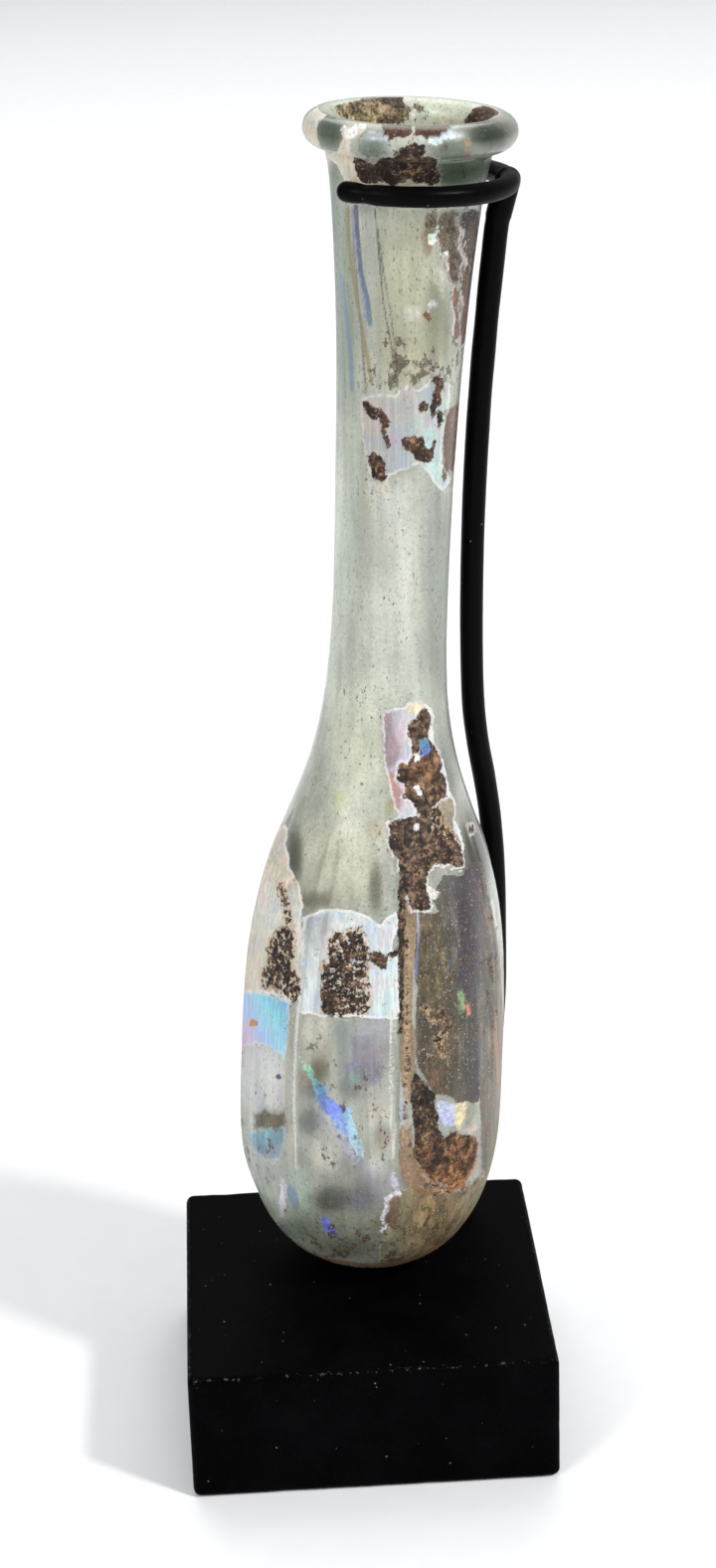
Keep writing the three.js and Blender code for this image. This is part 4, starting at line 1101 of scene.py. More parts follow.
class NodeGraph:
    """Builds a material's nodes from short calls."""

    def __init__(self, name: str) -> None:
        """Starts a material of that name with one Principled shader."""
        self.material = bpy.data.materials.new(name)
        self.material.use_nodes = True
        self.nodes = self.material.node_tree.nodes
        self.links = self.material.node_tree.links
        self.nodes.clear()
        self.shader = self.nodes.new("ShaderNodeBsdfPrincipled")
        output = self.nodes.new("ShaderNodeOutputMaterial")
        self.links.new(self.shader.outputs[0], output.inputs[0])
        place = self.nodes.new("ShaderNodeTexCoord")
        self.place = place.outputs["Object"]

    def put(self, socket: Socket, value: object) -> None:
        """Links a socket to another one, or sets its value."""
        if isinstance(value, Socket):
            self.links.new(value, socket)
        elif isinstance(value, tuple) and socket.type == "RGBA":
            socket.default_value = (*value[:3], 1.0)
        else:
            socket.default_value = value

    def surface(self, **values: object) -> None:
        """Sets or links the shader's sockets, with underscores for the spaces in their names."""
        for name, value in values.items():
            self.put(self.shader.inputs[name.replace("_", " ")], value)

    def math(self, operation: str, *values: object) -> Socket:
        """The result of a Math node."""
        node = self.nodes.new("ShaderNodeMath")
        node.operation = operation
        for socket, value in zip(node.inputs, values):
            self.put(socket, value)
        return node.outputs[0]

    def chain(self, operation: str, *values: object) -> Socket:
        """The result of one operation carried on through several values."""
        total = values[0]
        for value in values[1:]:
            total = self.math(operation, total, value)
        return total

    def times(self, *values: object) -> Socket:
        """Several values multiplied."""
        return self.chain("MULTIPLY", *values)

    def plus(self, *values: object) -> Socket:
        """Several values added."""
        return self.chain("ADD", *values)

    def most(self, *values: object) -> Socket:
        """The greatest of several values."""
        return self.chain("MAXIMUM", *values)

    def less(self, first: object, second: object) -> Socket:
        """The first value less the second."""
        return self.math("SUBTRACT", first, second)

    def rest(self, share: object) -> Socket:
        """What a share leaves of 1."""
        return self.math("SUBTRACT", 1, share)

    def tint(self, colour: object, value: Socket) -> Socket:
        """A colour multiplied by a number."""
        node = self.nodes.new("ShaderNodeCombineColor")
        for socket in node.inputs[:3]:
            self.put(socket, value)
        return self.mix(1.0, colour, node.outputs[0], "MULTIPLY")

    def step(self, value: object, low: float, high: float, start: float = 0, end: float = 1) -> Socket:
        """A soft step from start at low to end at high."""
        node = self.nodes.new("ShaderNodeMapRange")
        node.interpolation_type = "SMOOTHSTEP"
        for socket, item in zip(node.inputs, (value, low, high, start, end)):
            self.put(socket, item)
        return node.outputs[0]

    def mix(self, share: object, first: object, second: object, blend: str = "MIX") -> Socket:
        """Two colours mixed by a share."""
        node = self.nodes.new("ShaderNodeMix")
        node.data_type, node.blend_type = "RGBA", blend
        self.put(node.inputs["Factor"], share)
        self.put(node.inputs[6], first)
        self.put(node.inputs[7], second)
        return node.outputs[2]

    def lerp(self, share: object, first: object, second: object) -> Socket:
        """Two numbers mixed by a share."""
        node = self.nodes.new("ShaderNodeMix")
        node.data_type = "FLOAT"
        self.put(node.inputs["Factor"], share)
        self.put(node.inputs[2], first)
        self.put(node.inputs[3], second)
        return node.outputs[0]

    def moved(self, seed: float, steps: tuple[float, float, float], tall: float = 1) -> Socket:
        """The place on the object, moved by steps in metres for each seed and drawn out upward."""
        turn = self.nodes.new("ShaderNodeMapping")
        self.put(turn.inputs["Vector"], self.place)
        turn.inputs["Location"].default_value = tuple(seed * step for step in steps)
        turn.inputs["Scale"].default_value = (1, 1, 1 / tall)
        return turn.outputs[0]

    def noise(self, grain: Grain) -> Socket:
        """Noise of 0 to 1 over the object."""
        node = self.nodes.new("ShaderNodeTexNoise")
        self.put(node.inputs["Vector"], self.moved(grain.seed, NOISE_STEPS, grain.tall))
        node.inputs["Scale"].default_value = 1 / (grain.width * MM)
        node.inputs["Detail"].default_value = grain.detail
        node.inputs["Roughness"].default_value = grain.rough
        return node.outputs[0]

    def cells(self, grain: float, seed: float = 0) -> Socket:
        """The distance to the nearest of scattered points, in grains."""
        node = self.nodes.new("ShaderNodeTexVoronoi")
        self.put(node.inputs["Vector"], self.moved(seed, CELL_STEPS))
        node.inputs["Scale"].default_value = 1 / (grain * MM)
        return node.outputs["Distance"]

    def value(self, name: str) -> Socket:
        """A number that the mesh carries at each vertex."""
        node = self.nodes.new("ShaderNodeAttribute")
        node.attribute_name = name
        return node.outputs["Fac"]

    def ink(self, name: str) -> tuple[Socket, Socket]:
        """A colour that the mesh carries at each vertex, and its cover."""
        node = self.nodes.new("ShaderNodeAttribute")
        node.attribute_name = name
        return node.outputs["Color"], node.outputs["Alpha"]

    def ramp(self, value: object, *stops: tuple[float, Ink]) -> Socket:
        """A colour that runs through sRGB inks at given places."""
        node = self.nodes.new("ShaderNodeValToRGB")
        self.put(node.inputs[0], value)
        elements = node.color_ramp.elements
        for index, (place, ink) in enumerate(stops):
            element = elements[index] if index < 2 else elements.new(place)
            element.position = place
            element.color = (*linear(ink), 1)
        return node.outputs[0]

    def bump(self, height: object, distance: float, strength: float = 1) -> Socket:
        """A normal that follows a height of 0 to 1 over a distance in millimetres."""
        node = self.nodes.new("ShaderNodeBump")
        node.inputs["Distance"].default_value = distance * MM
        node.inputs["Strength"].default_value = strength
        self.put(node.inputs["Height"], height)
        return node.outputs[0]


@dataclass(frozen=True)
class WeatheredGlass:
    """Pale green glass, milky in places, under a pearly film, coloured flakes, specks and brown soil, with
    painted shade, painted light and painted glints.
    """

    name: str = "weathered_glass"
    ior: float = 1.5
    clear: float = 0.9
    milky: float = 0.25
    polish: float = 0.12
    dull: float = 0.36
    crust_dull: float = 0.85
    film_through: float = 0.06
    flake_hides: float = 0.92
    mark_hides: float = 0.8
    mud_cover: float = 0.88
    edge: float = 0.07
    film_softness: float = 0.9
    flake_softness: float = 0.35
    pearl_share: float = 0.62
    relief: float = 0.12
    relief_strength: float = 0.7
    pit_ink: Ink = (120, 112, 88)
    speck_ink: Ink = (52, 36, 28)
    soil_tan: Ink = (172, 138, 100)
    mark_ink: Ink = (88, 84, 66)
    fleck_ink: Ink = (186, 170, 138)
    tawny_ink: Ink = (206, 172, 134)
    border: Ink = (236, 232, 226)
    mud_inks: tuple[Stop, ...] = ((0.36, (38, 28, 22)), (0.5, (72, 56, 38)), (0.64, (108, 90, 62)))
    pearl_inks: tuple[Stop, ...] = (
        (0.3, (255, 234, 244)), (0.42, (255, 250, 236)), (0.52, (232, 250, 240)), (0.62, (228, 240, 255)),
        (0.74, (246, 232, 255)),
    )
    wander: Grain = Grain(1.5, 4, 0.7)
    fine: Grain = Grain(0.45, 3, 0.7, seed=3)
    cloud: Grain = Grain(7, 3, 0.55, seed=5, tall=1.6)
    streak: Grain = Grain(1.3, 3, 0.55, seed=7, tall=22)
    thread: Grain = Grain(0.35, 3, 0.7, seed=9, tall=40)
    pearl: Grain = Grain(3.6, 2, 0.45, seed=11)
    spots: Grain = Grain(0.75, 4, 0.75, seed=13)
    mottle: Grain = Grain(0.8, 5, 0.75, seed=15)
    blotch: Grain = Grain(2.2, 3, 0.6, seed=17)
    pitted: Grain = Grain(7, 3, 0.6, seed=21)
    marks: Grain = Grain(0.38, 3, 0.7, seed=23, tall=2)
    grit: Grain = Grain(0.6, 5, 0.78, seed=25, tall=1.6)
    blots: Grain = Grain(1.5, 5, 0.72, seed=27, tall=1.5)
    mud: Grain = Grain(0.5, 3, 0.7, seed=29)
    painted_glints: Grain = Grain(0.3, 3, 0.65, seed=33)
    broken: Grain = Grain(1.9, 4, 0.7, seed=35)
    tan: Grain = Grain(0.55, 4, 0.75, seed=37)
    pepper: Grain = Grain(0.5, 4, 0.75, seed=41)
    peppered: Grain = Grain(4, 3, 0.6, seed=43)
    rugged: Grain = Grain(2.2, 5, 0.72, seed=45, tall=2.4)

    def make(self) -> bpy.types.Material:
        """Builds the material."""
        return GlassLayers(self).material()


class GlassLayers:
    """Builds the weathered glass layer by layer, from the glass itself up to the soil and the chips."""

    def __init__(self, finish: WeatheredGlass) -> None:
        """Starts the material, with the noises and values that several layers share."""
        self.finish = finish
        self.g = g = NodeGraph(finish.name)
        self.wander = g.times(g.less(g.noise(finish.wander), 0.5), 1.1)
        self.fine = g.noise(finish.fine)
        self.cloud = g.noise(finish.cloud)
        self.streak = g.noise(finish.streak)
        self.mottle = g.noise(finish.mottle)
        self.grime = g.value("grime")
        self.chip_jitter = self.jitter(0.6, 0.8)
        marked = g.step(self.cloud, 0.34, 0.6, 0.45, 1)
        self.marks = g.times(g.step(g.noise(finish.marks), 0.6, 0.66), marked)

    def jitter(self, coarse: float, fine: float) -> Socket:
        """How far noise moves a layer's edge, in millimetres."""
        g = self.g
        return g.plus(g.times(self.wander, coarse), g.times(g.less(self.fine, 0.5), fine))

    def cut(self, depth: Socket, jitter: Socket) -> Socket:
        """The crisp inside of a layer whose edge is moved by noise."""
        return self.g.step(self.g.plus(depth, jitter), -self.finish.edge, self.finish.edge)

    def soft_cut(self, depth: Socket, reach: Socket) -> Socket:
        """The inside of a layer whose edge is soft over a reach on both sides."""
        return self.g.step(self.g.math("DIVIDE", depth, reach), -1, 1)

    def glass(self) -> tuple[Socket, Socket]:
        """The glass's colour, with the painted shade and painted light among its soft spots, its streaks,
        pits and dark marks, and how milky it is.
        """
        g, finish = self.g, self.finish
        ink, milk = g.ink("glass")
        tone = g.plus(g.step(self.streak, 0.34, 0.66, 0.86, 1.06), g.step(self.cloud, 0.3, 0.7, -0.12, 0.12))
        glass = g.tint(ink, g.times(tone, g.step(self.fine, 0.34, 0.7, 0.88, 1.1)))
        whole = g.most(g.step(g.cells(0.9, 4), 0.05, 0.16), g.step(g.noise(finish.pitted), 0.42, 0.56))
        glass = g.mix(g.times(g.rest(whole), 0.5), glass, linear(finish.pit_ink))
        return g.mix(self.marks, glass, linear(finish.mark_ink)), milk

    def dirt(self) -> tuple[Socket, Socket, Socket]:
        """Where mud, pale flecks and fine white specks painted as glints on pale grains lie, all of them
        more where the glass is grimy.
        """
        g, finish = self.g, self.finish
        bar = g.less(0.66, g.times(self.grime, 0.16))
        mud = g.times(g.step(g.less(g.noise(finish.blots), bar), -0.02, 0.02), g.step(self.grime, 0.02, 0.3))
        flecks = g.times(g.step(g.noise(finish.grit), 0.59, 0.65), self.grime, 0.7)
        # Fine white specks painted as glints on pale grains, stronger where the glass is grimy
        painted_glints = g.step(g.noise(finish.painted_glints), 0.62, 0.68)
        painted_glints = g.times(painted_glints, g.plus(0.42, g.times(self.grime, 0.2)))
        return g.times(mud, finish.mud_cover), flecks, painted_glints

    def film(self) -> tuple[Socket, Socket, Socket, Socket]:
        """The pearly film, with a few patches of painted shade and painted light laid the same way: its
        inside, how far it hides the glass, its colour, and its pale border.
        """
        g, finish = self.g, self.finish
        depth = g.plus(g.value("film"), self.wander)
        ink, cover = g.ink("film_ink")
        firm = g.step(cover, 0.6, 0.84)
        film = self.soft_cut(depth, g.lerp(firm, finish.film_softness, finish.edge))
        worn = g.step(g.plus(self.fine, g.times(self.cloud, 0.5)), 0.5, 0.62, 1, 0.82)
        mask = g.times(film, g.lerp(firm, g.times(cover, worn), 1.0))
        pearl = g.ramp(g.noise(finish.pearl), *finish.pearl_inks)
        colour = g.mix(finish.pearl_share, ink, pearl, "MULTIPLY")
        colour = g.tint(colour, g.step(g.noise(finish.thread), 0.36, 0.7, 0.78, 1.08))
        peppered = g.step(g.noise(finish.peppered), 0.4, 0.62, 0.12, 0.75)
        pepper = g.times(g.step(g.noise(finish.pepper), 0.59, 0.66), peppered)
        colour = g.mix(pepper, colour, linear(finish.mark_ink))
        rugged = g.step(g.noise(finish.rugged), 0.38, 0.62, 0.5, 1.45)
        rugged = g.times(rugged, g.step(self.streak, 0.36, 0.64, 0.65, 1.3))
        colour = g.mix(self.grime, colour, g.tint(colour, rugged))
        border = g.times(g.step(depth, 0.42, 0.2), film, g.value("film_edge"))
        return film, mask, colour, border

    def flake(self) -> tuple[Socket, Socket, Socket]:
        """The coloured flakes, and a painted highlight on the lip laid the same way: their inside, how far
        they hide what is under them, and their colour.
        """
        g, finish = self.g, self.finish
        ink, cover = g.ink("flake_ink")
        firm = g.step(cover, 0.7, 0.88)
        depth = g.plus(g.value("flake"), self.chip_jitter)
        flake = self.soft_cut(depth, g.lerp(firm, finish.flake_softness, finish.edge))
        tone = g.times(g.step(self.fine, 0.3, 0.7, 0.66, 1.2), g.step(self.streak, 0.35, 0.65, 0.78, 1.15))
        return flake, g.times(flake, g.most(cover, firm)), g.tint(ink, tone)

    def line(self) -> tuple[Socket, Socket]:
        """The thin lines, among them painted highlights and painted shade along the ribs and painted
        highlights down the right edge: how far each hides what is under it, and its colour.
        """
        g = self.g
        ink, cover = g.ink("line_ink")
        depth = g.plus(g.value("line"), g.times(g.less(self.fine, 0.5), 0.35))
        return g.times(g.step(depth, -0.06, 0.08), cover), ink

    def chip(self) -> tuple[Socket, Socket]:
        """The chips over the soil: how far they hide it, and their colour."""
        g = self.g
        ink, cover = g.ink("chip_ink")
        cover = g.times(cover, g.step(self.fine, 0.3, 0.5, 0.8, 1))
        mask = g.times(self.cut(g.value("chip"), self.chip_jitter), cover)
        return mask, g.tint(ink, g.step(self.mottle, 0.36, 0.62, 0.6, 1.2))

    def soil(self) -> tuple[Socket, Socket, Socket, Socket]:
        """The brown crust and specks: where they lie, their colour, their pale border, a tawny stain."""
        g, finish = self.g, self.finish
        jitter = self.jitter(0.9, 1.1)
        depth = g.plus(g.value("soil"), jitter)
        soil = self.cut(g.value("soil"), jitter)
        speck_depth = g.value("speck")
        bar = g.step(speck_depth, -0.3, 0.9, 0.6, 0.44)
        speck = g.step(g.less(g.noise(finish.spots), bar), -0.015, 0.015)
        speck = g.times(speck, g.step(g.plus(speck_depth, self.wander), -0.3, 0.1))
        blotch = g.noise(finish.blotch)
        shade = g.times(g.step(self.mottle, 0.4, 0.66, 0.2, 2), g.step(blotch, 0.4, 0.6, 0.4, 1.5))
        colour = g.tint(g.mix(soil, linear(finish.speck_ink), g.ink("soil_ink")[0]), shade)
        tan = g.step(g.plus(g.noise(finish.tan), g.times(blotch, 0.35)), 0.74, 0.8, 0, 0.7)
        colour = g.mix(tan, colour, linear(finish.soil_tan))
        border = g.times(g.step(depth, -0.36, -0.24), g.rest(soil), g.value("soil_edge"))
        tawny = g.times(g.step(speck_depth, -0.3, 0.3), g.step(self.fine, 0.42, 0.56, 0.15, 0.75))
        return g.most(soil, speck), colour, border, tawny

    def material(self) -> bpy.types.Material:
        """Lays the layers over each other and sets the shader."""
        g, finish = self.g, self.finish
        glass, milk = self.glass()
        mud, flecks, painted_glints = self.dirt()
        film, film_mask, film_colour, film_border = self.film()
        flake, flake_mask, flake_colour = self.flake()
        thin, thin_colour = self.line()
        chip, chip_colour = self.chip()
        crust, crust_colour, crust_border, tawny = self.soil()
        border = g.times(g.most(crust_border, film_border), g.step(g.noise(finish.broken), 0.36, 0.52))
        colour = glass
        for mask, ink in (
            (film_mask, film_colour),
            (flake_mask, flake_colour),
            (tawny, linear(finish.tawny_ink)),
            (thin, thin_colour),
            (mud, g.ramp(g.noise(finish.mud), *finish.mud_inks)),
            (flecks, linear(finish.fleck_ink)),
            (painted_glints, linear(finish.border)),
            (border, linear(finish.border)),
            (crust, crust_colour),
            (chip, chip_colour),
        ):
            colour = g.mix(mask, colour, ink)
        hidden = g.most(
            g.times(film_mask, 1 - finish.film_through), g.times(flake_mask, finish.flake_hides),
            chip, border, thin, crust, mud, g.times(self.marks, finish.mark_hides),
        )
        rough = g.lerp(milk, finish.polish, finish.dull)
        rough = g.lerp(film_mask, rough, g.step(self.fine, 0.3, 0.7, 0.5, 0.72))
        lift = g.plus(
            g.times(film, 0.35), g.times(flake, 0.3), g.times(crust, g.plus(0.6, g.times(self.mottle, 0.8))),
            g.times(g.plus(self.streak, g.times(self.fine, 0.3)), 0.16),
        )
        g.surface(
            Base_Color=colour,
            Transmission_Weight=g.times(g.lerp(milk, finish.clear, finish.milky), g.rest(hidden)),
            Roughness=g.lerp(crust, rough, finish.crust_dull),
            Normal=g.bump(lift, finish.relief, finish.relief_strength),
            IOR=finish.ior,
        )
        return g.material


@dataclass(frozen=True)
class BlackPaint:
    """Satin black paint, with fine bumps, dust and a few worn places that show what is under it."""

    name: str
    ink: Ink = (8, 8, 9)
    raised: Ink = (9, 9, 10)
    haze: Ink = (30, 30, 32)
    dust: Ink = (150, 145, 132)
    dust_share: float = 0.55
    worn: Ink = (88, 78, 66)
    worn_share: float = 0.6
    shine: float = 0.36
    shine_spread: float = 0.16
    grain: float = 0.5
    depth: float = 0.03
    gloss: float = 0.1

    def make(self) -> bpy.types.Material:
        """Builds the material."""
        g = NodeGraph(self.name)
        bumps = g.noise(Grain(self.grain, 4, 0.6))
        cloud = g.noise(Grain(9, 3, 0.6, seed=2))
        dusty = g.step(g.noise(Grain(4, seed=6)), 0.5, 0.62)
        dots = g.times(g.step(g.cells(1.7, 3), 0.09, 0.05), dusty)
        film = g.step(cloud, 0.35, 0.8, 0, 0.12)
        wear = g.value("wear")
        chipped = g.step(g.less(wear, g.noise(Grain(0.7, 4, 0.7, seed=8))), -0.03, 0.03)
        base = g.mix(g.step(bumps, 0.3, 0.75, 0, 0.35), linear(self.ink), linear(self.raised))
        colour = g.mix(film, base, linear(self.haze))
        colour = g.mix(g.times(chipped, self.worn_share), colour, linear(self.worn))
        colour = g.mix(g.times(dots, self.dust_share), colour, linear(self.dust))
        rough = g.step(cloud, 0.3, 0.75, self.shine, self.shine + self.shine_spread)
        g.surface(Base_Color=colour, Roughness=rough, Normal=g.bump(bumps, self.depth, 0.8))
        g.surface(Specular_IOR_Level=self.gloss)
        return g.material


@dataclass(frozen=True)
class PaleFloor:
    """A plain white floor with a faint dusty grain."""

    name: str = "pale_floor"
    ink: Ink = (246, 247, 248)
    dusty: Ink = (244, 245, 247)

    def make(self) -> bpy.types.Material:
        """Builds the material."""
        g = NodeGraph(self.name)
        tone = g.step(g.noise(Grain(6, 4, 0.6)), 0.3, 0.7)
        g.surface(Base_Color=g.mix(tone, linear(self.ink), linear(self.dusty)), Roughness=0.75)
        return g.material


# The pieces


@dataclass(frozen=True)
class WeatheredBottle:
    """The bottle's closed glass shell, with the values that its finish reads at each vertex."""

    form: BottleForm
    view: PhotoView
    columns: int = 256
    outer_rows: int = 268
    roll_rows: int = 18
    roll_rows_outside: int = 12
    inner_rows: int = 60
    heel_samples: int = 1500
    outer_samples: int = 3000
    inner_samples: int = 2000
    flare_gap: float = 2.4
    inside_ribs: float = 0.35
    sway: float = 0.12
    sway_grain: float = 17.0
    ripple: float = 0.025
    ripple_grain: float = 2.5
    ripple_stretch: tuple[float, float, float] = (1, 1, 0.25)
    soil_height: float = 0.22
    soil_grain: float = 1.3
    film_height: float = 0.03
    mouth_depth: float = 9.0

    def side_rows(self, floor: float, inset: float, samples: int) -> np.ndarray:
        """Close rows of distance and height, from a floor up to the rolled rim.

        Args:
            floor: The height at which the side starts.
            inset: How far the side lies inside the outer one.
            samples: How many rows there are above the heel.

        Returns:
            The rows, from the floor up.
        """
        form = self.form
        share = np.linspace(0, 1, self.heel_samples)[:-1]
        heel = floor + (form.heel_height - floor) * share**form.heel_squareness
        top = form.height - form.rim_roll - self.flare_gap
        height = np.concatenate([heel, np.linspace(form.heel_height, top, samples)])
        return np.stack([form.rounded(height, floor, form.side(height) - inset), height], axis=1)

    def profile(self) -> tuple[np.ndarray, np.ndarray]:
        """The closed section as distance and height rows, and whether each row is on the inner wall."""
        form = self.form
        outer = spaced(self.side_rows(0, 0, self.outer_samples), self.outer_rows)
        turn = np.radians(np.linspace(-90, 180, self.roll_rows))
        middle = np.array([form.rim_radius - form.rim_roll, form.height - form.rim_roll])
        roll = middle + form.rim_roll * np.stack([np.cos(turn), np.sin(turn)], axis=1)
        inner = self.side_rows(form.base_thickness, form.wall, self.inner_samples)[::-1]
        rows = np.vstack([outer, roll, spaced(inner, self.inner_rows)])
        return rows, np.arange(len(rows)) >= self.outer_rows + self.roll_rows_outside

    def points(self, spots: Spots, soil: np.ndarray, film: np.ndarray) -> np.ndarray:
        """The shell's points, with its ribs, its waviness, and the thickness of soil and film.

        Args:
            spots: The shell's grid of places.
            soil: How deep inside the soil each place is, in millimetres.
            film: How deep inside the film each place is, in millimetres.

        Returns:
            The grid's points, then the middle of the foot and the middle of the floor inside.
        """
        form = self.form
        place = form.around(spots.height, spots.distance, spots.turn)
        ribbed = form.relief(spots.turn, spots.height) * np.where(spots.inner, self.inside_ribs, 1)
        swell = self.sway * ValueNoise(1).at(place, self.sway_grain)
        swell += self.ripple * ValueNoise(2).rough(place * self.ripple_stretch, self.ripple_grain)
        bulk = smooth(soil, -0.1, 0.35) * (0.65 + 0.5 * ValueNoise(3).rough(place, self.soil_grain))
        crust = self.soil_height * bulk + self.film_height * smooth(film, -0.1, 0.2)
        grown = (swell + np.where(spots.inner, -crust, crust)) * smooth(spots.distance, 0.5, 4)
        place = form.around(spots.height, spots.distance + ribbed + grown, spots.turn)
        ends = form.around(np.array([0.0, form.base_thickness]), np.zeros(2), np.zeros(2))
        return np.vstack([place.reshape(-1, 3), ends])

    def carry(self, piece: bpy.types.Object, spots: Spots, pixels: np.ndarray, painted: Painted) -> None:
        """Gives the shell's vertices the values and the colours that the finish reads.

        Args:
            piece: The shell.
            spots: The shell's grid of places.
            pixels: The photograph's pixels of each place.
            painted: The depths and inks of each layer.
        """
        weathering = Weathering(self.view, self.form)
        values = {layer.value: depth for layer, (depth, _) in painted.items()}
        values |= {f"{layer.value}_edge": painted[layer][1][:, 4] for layer in (FILM, SOIL)}
        values["grime"] = weathering.grime(pixels)
        for name, numbers in values.items():
            set_numbers(piece, name, np.append(numbers, [weathering.far] * 2))
        glass = weathering.glass(pixels)
        inner = spots.inner.ravel()
        glass[inner] = (*linear(INNER_INK), INNER_MILK)
        mouth = inner & (spots.height.ravel() > self.form.height - self.mouth_depth)
        glass[mouth] = (*linear(MOUTH_INK), MOUTH_MILK)
        inks = {f"{layer.value}_ink": ink for layer, (_, ink) in painted.items() if layer is not SPECK}
        for name, colours in (inks | {"glass": glass}).items():
            set_colours(piece, name, np.vstack([colours, colours[:1], colours[-1:]])[:, :4])

    def make(self) -> bpy.types.Object:
        """Builds the shell, lays the weathering on it and dresses it."""
        spots = Spots.around(*self.profile(), self.columns)
        weathering = Weathering(self.view, self.form)
        pixels = weathering.seen_pixels(spots).reshape(-1, 2)
        painted = {layer: weathering.paint(pixels, spots.inner.ravel(), layer) for layer in Layer}
        soil, film = (painted[layer][0].reshape(spots.height.shape) for layer in (SOIL, FILM))
        faces = closed_faces(len(spots.height), self.columns)
        piece = mesh_object("glass_shell", self.points(spots, soil, film), faces)
        self.carry(piece, spots, pixels, painted)
        turn_outward(piece)
        piece.data.materials.append(WeatheredGlass().make())
        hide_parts("glass_bottle")
        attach(piece, ROOT)
        return piece


